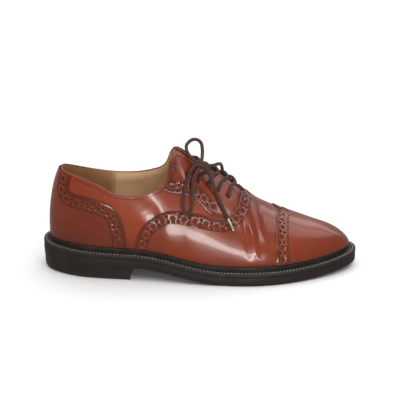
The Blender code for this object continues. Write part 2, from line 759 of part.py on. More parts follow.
def make_counter(collection):
    """The heel counter, wrapped around the back and narrowed to a strip at the collar."""
    shares = np.linspace(0, 1, EDGE_ROWS)
    back = rib_places(0.0, COUNTER_EDGE[-1][1], shares)
    front = edge_places(COUNTER_EDGE, shares)
    high = ruled(back[-1:], front[-1:], np.linspace(0, 1, COUNTER_STEPS))[:, 0]
    low = foot_line(0.0, front[0, 0], COUNTER_STEPS)
    places = patch(low, high, back, front, shares)
    grids = [over_last(side, places)[::-1] for side in (-1, 1)]
    looks = material("counter leather", LEATHER_DARK, 0.36)
    sheet("heel_counter", grids, OVERLAY_THICKNESS, True, looks, collection)


def make_vamp(collection):
    """The vamp, from the tip of its wing to the toe cap."""
    table = table_of(VAMP_COLUMNS, VAMP_ROWS)
    low = np.stack([table["foot rib"], overlay_foot(table["foot rib"])], axis=1)
    shares = crowded(EDGE_ROWS)
    front = edge_places(CAP_EDGE, shares)
    front[:, 0] -= CAP_JOINT
    low[-1] = front[0]
    high = np.stack([table["top rib"], table["top height"]], axis=1)
    high[-1] = front[-1]
    places = patch(low, high, ruled(low[:1], high[:1], shares)[:, 0], front, shares)
    grids = [over_last(side, places)[::-1] for side in (-1, 1)]
    looks = material("vamp leather", LEATHER_DARK, 0.36)
    sheet("vamp", grids, OVERLAY_THICKNESS, True, looks, collection)


def make_toe_cap(collection):
    """The toe cap, a step thicker than the vamp that it covers."""
    shares = np.linspace(0, 1, EDGE_ROWS)
    rear = edge_places(CAP_EDGE, shares)
    front = rib_places(LAST_RIB, 1.0, shares)
    high = ruled(rear[-1:], front[-1:], np.linspace(0, 1, CAP_STEPS))[:, 0]
    low = foot_line(rear[0, 0], LAST_RIB, CAP_STEPS)
    places = patch(low, high, rear, front, shares)
    grids = [over_last(side, places)[::-1] for side in (-1, 1)]
    looks = material("cap leather", LEATHER_DARK, 0.34)
    sheet("toe_cap", grids, CAP_THICKNESS, True, looks, collection)


def make_facings(collection):
    """The two facings that carry the eyelets, from the collar to the throat."""
    steps = np.arange(len(FACING_ROWS))
    at = np.linspace(0, steps[-1], 2 * len(steps) - 1)
    table = {name: eased(steps, column, at)
             for name, column in table_of(FACING_COLUMNS, FACING_ROWS).items()}
    low = np.stack([table["low rib"], table["low height"]], axis=1)
    high = np.stack([table["high rib"], table["high height"]], axis=1)
    places = ruled(low, high, np.linspace(0, 1, FACING_STRIPS))
    for side, name in ((-1, "facing_lateral"), (1, "facing_medial")):
        grid = over_last(side, places)[::-1]
        looks = material(name + " leather", LEATHER_DARK, 0.36)
        sheet(name, [grid], OVERLAY_THICKNESS, True, looks, collection)


def make_tongue(collection):
    """The tongue under the closure, past the facings' tips at its free end."""
    depth = -(UPPER_WALL + TONGUE_GAP)
    rows = []
    for rib, edge in TONGUE_ROWS:
        heights = np.linspace(edge, TONGUE_MIDDLE, TONGUE_STRIPS)
        lateral = off_last(np.full(TONGUE_STRIPS, rib), heights, depth)
        medial = off_last(np.full(TONGUE_STRIPS, ROUND - rib), heights, depth)
        middle = crest(rib) + depth * crest_normal(rib)
        rows.append(np.vstack([lateral, middle[None], medial[::-1]]))
    free_end = rows[0] - TONGUE_REACH * crest_run(TIP_RIB + 1.0)
    grid = np.stack([free_end, *rows])
    looks = material("tongue leather", LEATHER_DARK, 0.45)
    sheet("tongue", [grid], TONGUE_THICKNESS, False, looks, collection)


def tube(name, points, diameter, looks, collection):
    """A cord or bar: a round curve along its points."""
    curve = bpy.data.curves.new(name, "CURVE")
    curve.dimensions = "3D"
    curve.bevel_depth = diameter / 2
    curve.bevel_resolution = 2
    curve.use_fill_caps = True
    spline = curve.splines.new("POLY")
    spline.points.add(len(points) - 1)
    for knot, point in zip(spline.points, points):
        knot.co = (*point, 1.0)
    curve.materials.append(looks)
    piece = bpy.data.objects.new(name, curve)
    collection.objects.link(piece)
    return piece


def make_lace_bars(collection):
    """The lace's bars, straight across the closure over each pair of eyelets."""
    looks = material("lace cotton", LACE_BROWN, 0.8)
    off = OVERLAY_GAP + OVERLAY_THICKNESS + LACE_CLEARANCE + LACE_DIAMETER / 2
    shares = np.linspace(0, BAR_REACH, BAR_POINTS)
    for number, (rib, height) in enumerate(EYELETS, 1):
        ribs = rib + BAR_LEAN * shares
        heights = height + (1 - height) * shares
        lateral = off_last(ribs, heights, off)
        medial = off_last(ROUND - ribs, heights, off)
        over = crest(rib + BAR_LEAN) + (off + CROWN_RISE) * crest_normal(rib + BAR_LEAN)
        points = route(np.vstack([lateral, over[None], medial[::-1]]), CORD_STEP * LACE_DIAMETER)
        tube("lace_bar_%d" % number, points, LACE_DIAMETER, looks, collection)


def make_knot(collection):
    """The knot, a flattened ball that lies over the bars beside the crest."""
    rib, height = KNOT_PLACE
    up = last_normal(rib, height)
    along = np.cross(np.cross(up, [1.0, 0.0, 0.0]), up)
    along = along / np.linalg.norm(along)
    frame = np.column_stack([along, np.cross(up, along), up])
    mesh = bmesh.new()
    bmesh.ops.create_uvsphere(mesh, u_segments=12, v_segments=8, radius=0.5)
    for vert in mesh.verts:
        vert.co = frame @ (np.array(vert.co) * KNOT_SIZE) + np.array(KNOT_CENTRE) / 1000
    finish_mesh("lace_knot", mesh, material("knot cotton", LACE_BROWN, 0.8), collection)


def make_loops(collection):
    """The bow's two loops."""
    for side, points in (("lateral", LOOP_LATERAL), ("medial", LOOP_MEDIAL)):
        path = route(np.array(points) / 1000, CORD_STEP * LACE_DIAMETER)
        looks = material("loop cotton", LACE_BROWN, 0.8)
        tube("lace_loop_" + side, path, LACE_DIAMETER, looks, collection)


def make_ends(collection):
    """The lace's two free ends, each with its aglet."""
    lace = material("lace end cotton", LACE_BROWN, 0.8)
    brass = material("aglet brass", AGLET_BRASS, 0.3, 1.0)
    for side, points in (("lateral", END_LATERAL), ("medial", END_MEDIAL)):
        path = route(np.array(points) / 1000, FINE_STEP)
        steps = np.linalg.norm(np.diff(path, axis=0), axis=1)
        left = steps.sum() - np.append(0.0, np.cumsum(steps))
        tip = path[-1]
        start = path[np.argmin(abs(left - AGLET_LENGTH))]
        body = path[left > AGLET_LENGTH + FIT_GAP]
        skip = int(round(CORD_STEP * LACE_DIAMETER / steps[0]))
        body = np.vstack([body[:-skip:skip], body[-1:]])
        tube("lace_end_" + side, body, LACE_DIAMETER, lace, collection)
        middle = (start + tip) / 2
        tube("aglet_" + side, np.array([start, middle, tip]), AGLET_DIAMETER, brass, collection)


def main():
    """Build the shoe."""
    for old in list(bpy.data.objects):
        bpy.data.objects.remove(old)
    shoe = bpy.data.collections.new("brogue_shoe")
    bpy.context.scene.collection.children.link(shoe)
    for make in (make_heel, make_outsole, make_insole, make_welt, make_upper, make_counter,
                 make_vamp, make_toe_cap, make_facings, make_tongue, make_lace_bars,
                 make_knot, make_loops, make_ends):
        make(shoe)


main()
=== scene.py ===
"""Looks of the brogue shoe: its leather panels, edges, stitches, lining, laces and sole.

Lengths are in metres in the part's frame: X to the toe, Y to the medial side and Z up. A place
on the last is a rib, 0 at the back of the heel to 17 at the toe, and a share of its height.
"""

import logging
import math
from dataclasses import dataclass, field
from enum import Enum

import bmesh
import bpy
import numpy as np
from mathutils import Matrix, Quaternion, Vector
from mathutils.geometry import delaunay_2d_cdt


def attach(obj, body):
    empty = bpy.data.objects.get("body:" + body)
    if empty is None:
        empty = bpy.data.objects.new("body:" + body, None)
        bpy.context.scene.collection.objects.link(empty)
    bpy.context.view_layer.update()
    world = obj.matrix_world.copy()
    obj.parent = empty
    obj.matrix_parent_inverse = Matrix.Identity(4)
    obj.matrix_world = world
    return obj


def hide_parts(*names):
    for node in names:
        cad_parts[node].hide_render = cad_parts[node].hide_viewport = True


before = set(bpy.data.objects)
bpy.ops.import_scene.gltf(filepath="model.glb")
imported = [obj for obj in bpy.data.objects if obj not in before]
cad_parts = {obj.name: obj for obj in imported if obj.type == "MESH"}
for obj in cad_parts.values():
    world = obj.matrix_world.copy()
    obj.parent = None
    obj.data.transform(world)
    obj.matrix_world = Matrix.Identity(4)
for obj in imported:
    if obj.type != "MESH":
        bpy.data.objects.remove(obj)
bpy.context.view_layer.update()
LOG = logging.getLogger("brogue")
Array = np.ndarray
Socket = bpy.types.NodeSocket
Value = Socket | float | tuple
BODY = "root"
UP = np.array([0.0, 0.0, 1.0])

# Sole outline: share of the outsole's length, then lateral and medial shares of the ball's width
OUTLINE = (
    (0.018, 0.160, 0.160), (0.050, 0.243, 0.243), (0.100, 0.320, 0.316), (0.190, 0.377, 0.358),
    (0.290, 0.408, 0.338), (0.390, 0.449, 0.312), (0.490, 0.495, 0.332), (0.580, 0.514, 0.405),
    (0.660, 0.517, 0.462), (0.740, 0.480, 0.488), (0.810, 0.413, 0.473), (0.870, 0.334, 0.426),
    (0.920, 0.247, 0.353), (0.960, 0.156, 0.265), (0.988, 0.063, 0.177),
)

# Ribs of the last, in the shares that the named columns give
RIB_COLUMNS = (
    "foot", "along", "height", "centre", "opening",
    "foot_out_lateral", "foot_out_medial", "foot_up", "top_out", "top_drop",
)
RIBS = (
    (0.000, 0.060, 0.858, 0.00, 0.00, 0.020, 0.020, 0.207, 0.087, 0.155),
    (0.045, 0.068, 0.855, 0.00, 0.36, 0.020, 0.020, 0.207, 0.078, 0.160),
    (0.110, 0.103, 0.845, 0.00, 0.68, 0.022, 0.022, 0.198, 0.055, 0.165),
    (0.190, 0.170, 0.832, 0.00, 0.87, 0.022, 0.024, 0.190, 0.040, 0.168),
    (0.265, 0.246, 0.826, 0.00, 0.95, 0.022, 0.030, 0.181, 0.040, 0.168),
    (0.335, 0.312, 0.838, 0.00, 0.92, 0.020, 0.040, 0.181, 0.060, 0.168),
    (0.400, 0.359, 0.882, 0.00, 0.74, 0.018, 0.050, 0.190, 0.095, 0.160),
    (0.460, 0.392, 0.941, 0.00, 0.47, 0.016, 0.056, 0.198, 0.132, 0.140),
    (0.520, 0.425, 1.000, 0.00, 0.27, 0.016, 0.056, 0.207, 0.145, 0.110),
    (0.575, 0.485, 0.889, 0.07, 0.22, 0.018, 0.050, 0.207, 0.155, 0.080),
    (0.630, 0.545, 0.806, 0.14, 0.13, 0.022, 0.042, 0.198, 0.170, 0.050),
    (0.685, 0.602, 0.709, 0.24, 0.05, 0.026, 0.036, 0.190, 0.190, 0.025),
    (0.740, 0.652, 0.592, 0.33, 0.00, 0.028, 0.032, 0.181, 0.215, 0.000),
    (0.793, 0.704, 0.504, 0.43, 0.00, 0.028, 0.030, 0.168, 0.235, 0.000),
    (0.845, 0.760, 0.440, 0.55, 0.00, 0.026, 0.028, 0.150, 0.235, 0.000),
    (0.898, 0.822, 0.381, 0.68, 0.00, 0.022, 0.024, 0.125, 0.220, 0.000),
    (0.950, 0.872, 0.341, 0.82, 0.00, 0.016, 0.018, 0.095, 0.180, 0.000),
    (1.000, 0.896, 0.319, 0.92, 0.00, 0.008, 0.008, 0.072, 0.135, 0.000),
)
TOE_RIB = 17.0
ROUND = 34.0
TIP_RIB = 8.0
CLOSURE_END = 11.4
LATERAL = -1.0
MEDIAL = 1.0

# Topline: rib, then the share of its height at the lateral and the medial side
TOPLINE = (
    (0.0, 1.000, 1.000), (1.0, 0.995, 0.965), (2.0, 0.980, 0.900), (3.0, 0.910, 0.835),
    (4.0, 0.770, 0.800), (5.0, 0.755, 0.800), (6.0, 0.757, 0.800), (6.7, 0.780, 0.830),
    (7.0, 0.820, 0.870), (7.4, 0.935, 0.945), (8.0, 1.000, 1.000),
)

# Edges of the panels, each a row of (rib, share of height)
COUNTER_EDGE = (
    (4.28, 0.00), (4.27, 0.20), (4.20, 0.34), (4.05, 0.50), (3.80, 0.60), (3.35, 0.67),
    (2.70, 0.71), (2.05, 0.73), (1.85, 0.78), (1.85, 0.88), (1.92, 0.975),
)
WING_EDGE = (
    (4.62, 0.02), (4.66, 0.140), (4.78, 0.270), (5.00, 0.380), (5.42, 0.472), (5.92, 0.517),
    (6.45, 0.535), (6.95, 0.521), (7.35, 0.498), (7.90, 0.470), (8.70, 0.468), (9.45, 0.483),
    (9.95, 0.530), (10.53, 0.630), (10.97, 0.760), (11.14, 0.825), (11.30, 0.890), (11.57, 1.000),
)
CAP_EDGE = (
    (11.38, 0.00), (11.45, 0.12), (11.67, 0.275), (11.97, 0.405), (12.31, 0.51),
    (13.05, 0.76), (13.75, 1.00),
)
FACING_LOW = (
    (6.55, 0.735), (6.95, 0.675), (7.30, 0.645), (7.66, 0.615), (8.00, 0.592), (8.32, 0.572),
    (8.99, 0.490), (9.80, 0.500), (10.45, 0.600), (10.90, 0.740), (11.20, 0.890),
)
FACING_HIGH = (
    (6.70, 0.768), (6.98, 0.800), (7.38, 0.918), (7.95, 0.985), (8.60, 0.994), (9.20, 0.994),
    (9.80, 0.994), (10.35, 0.994), (10.80, 0.994), (11.10, 0.994), (11.36, 0.994),
)
FACING_SLANT = ((8.02, 0.955), (7.55, 0.84), (7.10, 0.76), (6.72, 0.71))
TONGUE_ROWS = (
    (8.00, 0.86), (8.60, 0.80), (9.30, 0.78), (10.00, 0.76), (10.80, 0.76), (11.60, 0.78),
    (12.30, 0.82),
)
EYELETS = ((8.38, 0.765), (8.85, 0.762), (9.34, 0.760), (9.84, 0.750), (10.28, 0.715))
PINHOLES = ((7.72, 0.86), (7.60, 0.815))
RIDGE_LIFT = 0.0048
THREAD_RISE = 0.00008

# Creases: side, start rib and height, end rib and height, half width and rise in millimetres
CREASES = (
    (-1, 10.62, 0.56, 10.08, 0.17, 2.6, -0.9),
    (-1, 10.90, 0.60, 10.42, 0.22, 3.0, 0.7),
    (-1, 11.32, 0.66, 10.66, 0.19, 2.2, -0.8),
    (-1, 12.60, 0.97, 11.50, 0.42, 3.4, -0.6),
    (-1, 12.05, 0.90, 11.25, 0.45, 3.0, 0.5),
    (1, 10.70, 0.60, 10.15, 0.20, 2.8, -0.8),
    (1, 11.05, 0.66, 10.45, 0.24, 3.0, 0.6),
    (1, 11.50, 0.74, 10.80, 0.24, 2.6, -0.7),
    (1, 12.50, 0.95, 11.60, 0.46, 3.4, -0.5),
    (-1, 5.10, 0.70, 5.80, 0.42, 6.0, -1.2),
    (-1, 5.50, 0.27, 6.50, 0.20, 9.0, 0.9),
    (-1, 6.40, 0.72, 6.10, 0.50, 1.0, -0.25),
    (1, 5.20, 0.72, 5.90, 0.46, 6.0, -0.7),
)

# The tied lace. Points in millimetres, as in the part's source
KNOT_CENTRE = (108.3, -16.2, 106.3)
LOOP_LATERAL = (
    (102.6, -18.9, 106.8), (98.6, -23.4, 102.8), (96.4, -26.2, 97.6), (95.0, -28.2, 92.4),
    (93.4, -30.8, 86.4), (92.4, -33.0, 80.6), (91.9, -35.0, 75.4), (92.4, -36.9, 70.4),
    (93.9, -38.2, 66.8), (96.2, -38.9, 65.3), (98.6, -38.4, 67.0), (100.1, -37.0, 71.4),
    (100.7, -35.0, 76.4), (100.9, -32.9, 81.6), (100.9, -30.4, 87.0), (101.0, -28.0, 92.4),
    (101.8, -25.8, 97.2), (103.6, -23.4, 101.0), (105.9, -20.3, 104.7),
)
LOOP_MEDIAL = (
    (104.6, -14.0, 108.7), (99.4, -9.9, 112.0), (95.6, -4.5, 115.4), (94.4, 1.0, 119.6),
    (97.0, 5.0, 122.6), (101.0, 8.0, 124.0), (105.3, 8.8, 123.2), (108.6, 7.0, 120.4),
    (109.6, 3.2, 116.0), (109.6, -3.5, 111.9), (109.0, -12.7, 109.0),
)
END_LATERAL = (
    (114.0, -16.2, 103.4), (116.2, -17.6, 99.4), (118.0, -19.8, 94.8), (120.6, -22.8, 88.6),
    (123.7, -25.6, 81.8), (127.0, -29.7, 74.2), (131.0, -33.4, 66.8), (135.1, -37.2, 59.2),
    (139.6, -41.0, 50.5),
)
END_MEDIAL = (
    (113.2, -13.3, 105.5), (120.0, -6.8, 103.4), (124.6, 1.6, 102.0), (127.0, 9.0, 99.2),
    (128.2, 14.6, 95.3), (128.9, 19.8, 90.4), (129.7, 24.5, 83.2), (131.1, 28.0, 75.7),
    (133.4, 31.6, 67.8), (136.0, 35.0, 59.6), (138.7, 37.9, 51.1), (141.7, 40.6, 41.3),
)


class Edge(Enum):
    """How a stretch of a panel's outline is finished."""

    SEAM = "joined to the other side"
    PLAIN = "cut straight"
    PINKED = "cut in teeth"


class Loop:
    """A closed cubic curve through rows of values, each row at its own knot."""

    def __init__(self, knots: Array, rows: Array, period: float) -> None:
        """Work out the curve's bends.

        Args:
            knots: The rows' places along the loop.
            rows: The values at the knots.
            period: The length of the loop.
        """
        self.period = period
        self.knots = np.append(knots, knots[0] + period)
        self.rows = np.vstack([rows, rows[:1]])
        steps = np.diff(self.knots)
        slopes = np.diff(self.rows, axis=0) / steps[:, None]
        count = len(steps)
        system = np.zeros((count, count))
        for row in range(count):
            system[row, row - 1] += steps[row - 1]
            system[row, row] += 2 * (steps[row - 1] + steps[row])
            system[row, (row + 1) % count] += steps[row]
        bends = np.linalg.solve(system, 6 * (slopes - np.roll(slopes, 1, axis=0)))
        self.bends = np.vstack([bends, bends[:1]])

    def at(self, where: Array) -> Array:
        """Values at places along the loop.

        Args:
            where: Places, in the knots' own units.

        Returns:
            One row of values for each place.
        """
        start = self.knots[0]
        where = start + np.mod(np.asarray(where, float) - start, self.period)
        left = np.clip(np.searchsorted(self.knots, where, side="right") - 1, 0, len(self.knots) - 2)
        step = (self.knots[left + 1] - self.knots[left])[..., None]
        ahead = (where - self.knots[left])[..., None] / step
        behind = 1 - ahead
        straight = behind * self.rows[left] + ahead * self.rows[left + 1]
        bent = (behind**3 - behind) * self.bends[left] + (ahead**3 - ahead) * self.bends[left + 1]
        return straight + bent * step**2 / 6


def eased(knots: Array, values: Array, where: Array) -> Array:
    """Values of a smooth curve through (knots, values) that never overshoots them.

    Args:
        knots: Rising places.
        values: The value at each place.
        where: The places to read.

    Returns:
        The curve's values.
    """
    knots = np.asarray(knots, float)
    values = np.asarray(values, float)
    steps = np.diff(knots)
    slopes = np.diff(values) / steps
    ends = np.zeros(len(knots))
    ends[0], ends[-1] = slopes[0], slopes[-1]
    same = slopes[:-1] * slopes[1:] > 0
    both = np.where(same, slopes[:-1] + slopes[1:], 1.0)
    ends[1:-1] = np.where(same, 2 * slopes[:-1] * slopes[1:] / both, 0.0)
    where = np.clip(np.asarray(where, float), knots[0], knots[-1])
    left = np.clip(np.searchsorted(knots, where, side="right") - 1, 0, len(steps) - 1)
    step = steps[left]
    share = (where - knots[left]) / step
    rise = share**2 * (3 - 2 * share)
    start_pull = share * (1 - share) ** 2 * step * ends[left]
    end_pull = share**2 * (share - 1) * step * ends[left + 1]
    return values[left] * (1 - rise) + values[left + 1] * rise + start_pull + end_pull


def unit(vectors: Array) -> Array:
    """Vectors scaled to length one."""
    return vectors / np.maximum(np.linalg.norm(vectors, axis=-1, keepdims=True), 1e-12)


def lengths_along(points: Array) -> Array:
    """Length from a polyline's start to each of its points."""
    return np.append(0.0, np.cumsum(np.linalg.norm(np.diff(points, axis=0), axis=1)))


def whole_length(points: Array) -> float:
    """Length of a polyline."""
    return float(np.linalg.norm(np.diff(points, axis=0), axis=1).sum())


def read_along(rows: Array, lengths: Array, at: Array) -> Array:
    """Rows read between the points of a polyline, where at gives lengths along it."""
    return np.stack([np.interp(at, lengths, column) for column in rows.T], axis=1)


def even_steps(points: Array, spacing: float) -> Array:
    """Points at even steps along a polyline.

    Args:
        points: The polyline.
        spacing: The wanted step.

    Returns:
        The new points, both ends kept.
    """
    lengths = lengths_along(points)
    count = max(3, int(round(lengths[-1] / spacing)) + 1)
    return read_along(points, lengths, np.linspace(0, lengths[-1], count))


def route(points: Array, spacing: float) -> Array:
    """Points at even steps along a smooth line through a cord's own points.

    Args:
        points: The points that the cord runs through.
        spacing: The wanted step.

    Returns:
        The points of the smooth line.
    """
    points = np.asarray(points, float)
    ends = np.vstack([2 * points[0] - points[1], points, 2 * points[-1] - points[-2]])
    share = np.linspace(0, 1, 12, endpoint=False)[:, None]
    rise = share**2 * (3 - 2 * share)
    fine = []
    for before, start, end, after in zip(ends, ends[1:], ends[2:], ends[3:]):
        start_pull = share * (1 - share) ** 2 * (end - before) / 2
        end_pull = share**2 * (share - 1) * (after - start) / 2
        fine.append(start * (1 - rise) + end * rise + start_pull + end_pull)
    return even_steps(np.vstack([*fine, points[-1:]]), spacing)


@dataclass
class Last:
    """The form that the leather is pulled over, and the sole line that it stands on."""

    outsole_length: float = 0.301
    ball_width: float = 0.103
    heel_rest: float = 0.042
    heel_length: float = 0.0845
    heel_back_height: float = 0.0155
    heel_breast_height: float = 0.0125
    tread_start: float = 0.177
    tread_length: float = 0.036
    toe_spring: float = 0.0055
    outsole_thickness: float = 0.0078
    welt_thickness: float = 0.0040
    welt_show: float = 0.0078
    upper_height: float = 0.116
    collar_half_width: float = 0.030
    toe_swing: float = 0.0075
    fit_gap: float = 0.0003
    rib_pace: float = 0.0135
    height_pace: float = 0.070
    rib_step: float = 0.02
    height_step: float = 0.004

    def __post_init__(self) -> None:
        """Work out the sole's outline and the ribs' loop."""
        rows = np.array(OUTLINE)
        along = rows[:, 0] * self.outsole_length - self.heel_rest
        lateral = np.stack([along, -rows[:, 1] * self.ball_width], axis=1)
        medial = np.stack([along, rows[:, 2] * self.ball_width], axis=1)[::-1]
        back = np.array([[-self.heel_rest, 0.0]])
        tip = np.array([[self.outsole_length - self.heel_rest, self.toe_swing]])
        knots, points = [], []
        ways = np.vstack([back, lateral, tip]), np.vstack([tip, medial, back])
        for start, line in enumerate(ways):
            run = lengths_along(line)
            knots.append(start + run[:-1] / run[-1])
            points.append(line[:-1])
        self.sole = Loop(np.concatenate(knots), np.vstack(points), 2.0)
        self.table = {name: np.array(column) for name, column in zip(RIB_COLUMNS, zip(*RIBS))}
        numbers = np.arange(len(RIBS))
        drift = self.table["foot"] - numbers / TOE_RIB
        shared = [self.table[name] for name in ("along", "height", "foot_up", "top_out")]
        out = np.stack([drift, self.table["foot_out_lateral"], *shared], axis=1)
        home = np.stack([-drift, self.table["foot_out_medial"], *shared], axis=1)[1:-1][::-1]
        rows = np.vstack([out, home])
        self.ribs = Loop(np.arange(len(rows), dtype=float), rows, ROUND)
        self.numbers = numbers
        self.paces = np.array([self.rib_pace, self.height_pace])

    def outline_normal(self, share: Array) -> Array:
        """Outward normals of the sole's outline.

        Args:
            share: Places along the outline, up to 1 lateral and up to 2 medial.

        Returns:
            A vector of length one for each place.
        """
        reach = 0.002
        run = self.sole.at(np.asarray(share) + reach) - self.sole.at(np.asarray(share) - reach)
        return unit(np.stack([run[..., 1], -run[..., 0]], axis=-1))

    def inset(self, share: Array, inset: Array | float) -> Array:
        """Points of the sole's outline moved inward."""
        return self.sole.at(share) - np.asarray(inset)[..., None] * self.outline_normal(share)

    def sole_bottom(self, x: Array) -> Array:
        """Height of the outsole's underside.

        Args:
            x: Distances forward of the heel's middle.

        Returns:
            The heights.
        """
        along = np.asarray(x, float) + self.heel_rest
        seat = np.clip(1 - along / self.heel_length, 0, 1) ** 1.5
        seat = self.heel_breast_height + (self.heel_back_height - self.heel_breast_height) * seat
        waist = (along - self.heel_length) / (self.tread_start - self.heel_length)
        waist = self.heel_breast_height * (0.5 + 0.5 * np.cos(np.pi * np.clip(waist, 0, 1)))
        start = self.tread_start + self.tread_length
        spring = np.clip((along - start) / (self.outsole_length - start), 0, 1)
        return np.where(along < self.heel_length, seat, waist + self.toe_spring * spring**2)

    def outsole_top(self, x: Array) -> Array:
        """Height of the outsole's upper face."""
        return self.sole_bottom(x) + self.outsole_thickness

    def welt_top(self, x: Array) -> Array:
        """Height of the welt's upper face."""
        return self.outsole_top(x) + self.fit_gap + self.welt_thickness

    def folded(self, place: Array) -> tuple[Array, Array]:
        """Rib number and side of places along the ribs' loop.

        Args:
            place: Places along the ribs' loop.

        Returns:
            The rib numbers, and -1 for lateral or 1 for medial.
        """
        place = np.mod(np.asarray(place, float), ROUND)
        lateral = place <= TOE_RIB
        return np.where(lateral, place, ROUND - place), np.where(lateral, LATERAL, MEDIAL)

    def opening(self, rib: Array) -> Array:
        """Half the width between the two sides at the top of a rib.

        Args:
            rib: Rib numbers.

        Returns:
            The half widths.
        """
        held = self.numbers < CLOSURE_END
        knots = np.append(self.numbers[held], CLOSURE_END)
        widths = np.append(self.table["opening"][held], 0.0)
        return eased(knots, widths, rib) * self.collar_half_width

    def crest(self, rib: Array) -> Array:
        """Points of the line that the ribs climb to.

        Args:
            rib: Rib numbers.

        Returns:
            A point for each rib.
        """
        column = self.ribs.at(rib)
        centre = eased(self.numbers, self.table["centre"], rib) * self.toe_swing
        along = column[..., 2] * self.outsole_length - self.heel_rest
        return np.stack([along, centre, column[..., 3] * self.upper_height], axis=-1)

    def crest_run(self, rib: Array) -> Array:
        """Direction of the crest in its vertical plane.

        Args:
            rib: Rib numbers.

        Returns:
            A vector of length one for each rib.
        """
        rib = np.asarray(rib, float)
        reach = 0.05
        ahead = np.minimum(rib + reach, TOE_RIB)
        run = self.crest(ahead) - self.crest(np.maximum(rib - reach, 0.0))
        run[..., 1] = 0.0
        share = np.clip((rib - TIP_RIB + 2) / 2, 0, 1)[..., None]
        return unit(share * unit(run) + (1 - share) * np.array([1.0, 0.0, 0.0]))

    def crest_normal(self, rib: Array) -> Array:
        """Upward normal of the crest in its vertical plane."""
        run = self.crest_run(rib)
        return np.stack([-run[..., 2], np.zeros_like(run[..., 1]), run[..., 0]], axis=-1)

    def point(self, place: Array, height: Array) -> Array:
        """Points of the bare last.

        Args:
            place: Places along the ribs' loop.
            height: Shares of the ribs' heights.

        Returns:
            The points.
        """
        rib, side = self.folded(place)
        column = self.ribs.at(place)
        foot_at = column[..., 0] + np.mod(place, ROUND) / TOE_RIB
        normal = self.outline_normal(foot_at)
        foot_xy = self.inset(foot_at, self.welt_show)
        foot_z = self.welt_top(foot_xy[..., 0]) + self.fit_gap
        foot = np.stack([foot_xy[..., 0], foot_xy[..., 1], foot_z], axis=-1)
        out = (column[..., 1] * self.ball_width)[..., None]
        up = (column[..., 4] * self.upper_height)[..., None]
        flat = np.concatenate([normal, np.zeros_like(normal[..., :1])], axis=-1)
        foot_pull = foot + out * flat + up * UP
        drop = (eased(self.numbers, self.table["top_drop"], rib) * self.upper_height)[..., None]
        across = np.array([0.0, 1.0, 0.0])
        top = self.crest(rib) + (side * self.opening(rib))[..., None] * across
        spread = normal[..., 1:] * across + normal[..., :1] * self.crest_run(rib)
        top_pull = top + (column[..., 5] * self.ball_width)[..., None] * spread - drop * UP
        share = np.asarray(height, float)[..., None]
        rest = 1 - share
        return (rest**3 * foot + 3 * rest**2 * share * foot_pull
                + 3 * rest * share**2 * top_pull + share**3 * top)

    def normal(self, place: Array, height: Array) -> Array:
        """Outward normals of the bare last.

        Args:
            place: Places along the ribs' loop.
            height: Shares of the ribs' heights.

        Returns:
            A vector of length one for each place.
        """
        place = np.asarray(place, float)
        height = np.asarray(height, float)
        reach = 0.02
        high = np.minimum(height + reach, 1.0)
        low = np.maximum(high - 2 * reach, 0.0)
        run = self.point(place + reach, height) - self.point(place - reach, height)
        normal = unit(np.cross(run, self.point(place, high) - self.point(place, low)))
        rib, _ = self.folded(place)
        on_crest = ((height > 1 - 1e-6) & (rib > CLOSURE_END - 1e-6))[..., None]
        return np.where(on_crest, self.crest_normal(rib), normal)

    def crease(self, place: Array, height: Array) -> Array:
        """Rise of the walked-in creases at places on the last.

        Args:
            place: Places along the ribs' loop.
            height: Shares of the ribs' heights.

        Returns:
            How far the leather stands out, less than zero in a trough.
        """
        rib, side = self.folded(place)
        total = np.zeros(np.shape(rib))
        spot = np.stack([rib, np.asarray(height)], axis=-1) * self.paces
        for crease_side, rib_a, height_a, rib_b, height_b, width, rise in CREASES:
            start = np.array([rib_a, height_a]) * self.paces
            run = np.array([rib_b, height_b]) * self.paces - start
            share = ((spot - start) @ run) / (run @ run)
            near = start + np.clip(share, 0, 1)[..., None] * run
            apart = np.linalg.norm(spot - near, axis=-1) * 1000 / width
            fade = np.clip(1.2 - abs(share - 0.5) * 1.6, 0, 1)
            total = total + np.where(side == crease_side, fade * rise * np.exp(-(apart**2)), 0.0)
        calm = np.clip((1 - np.asarray(height)) / 0.1, 0, 1)
        return total * calm / 1000

    def off(self, place: Array, height: Array, distance: Array | float) -> Array:
        """Points at a distance outside the creased leather."""
        distance = np.asarray(distance) + self.crease(place, height)
        return self.point(place, height) + distance[..., None] * self.normal(place, height)

    def skin_normal(self, place: Array, height: Array) -> Array:
        """Normals of the creased leather.

        Args:
            place: Places along the ribs' loop.
            height: Shares of the ribs' heights.

        Returns:
            A vector of length one for each place.
        """
        place = np.asarray(place, float)
        height = np.asarray(height, float)
        step = 0.03
        rise = 0.006
        high = np.minimum(height + rise, 1.0 - 1e-5)
        run = self.off(place + step, height, 0.0) - self.off(place - step, height, 0.0)
        climb = self.off(place, high, 0.0) - self.off(place, high - 2 * rise, 0.0)
        normal = unit(np.cross(run, climb))
        rib, _ = self.folded(place)
        on_crest = ((height > 1 - 1e-6) & (rib > CLOSURE_END - 1e-6))[..., None]
        return np.where(on_crest, self.crest_normal(rib), normal)

    def topline(self, rib: Array, side: float) -> Array:
        """Share of a rib's height at which the upper ends."""
        rows = np.array(TOPLINE)
        return eased(rows[:, 0], rows[:, 1] if side < 0 else rows[:, 2], rib)

    def tops(self, place: Array) -> Array:
        """Share of the rib's height at which the upper ends, at places along the ribs' loop."""
        rib, side = self.folded(place)
        return np.where(side < 0, self.topline(rib, LATERAL), self.topline(rib, MEDIAL))

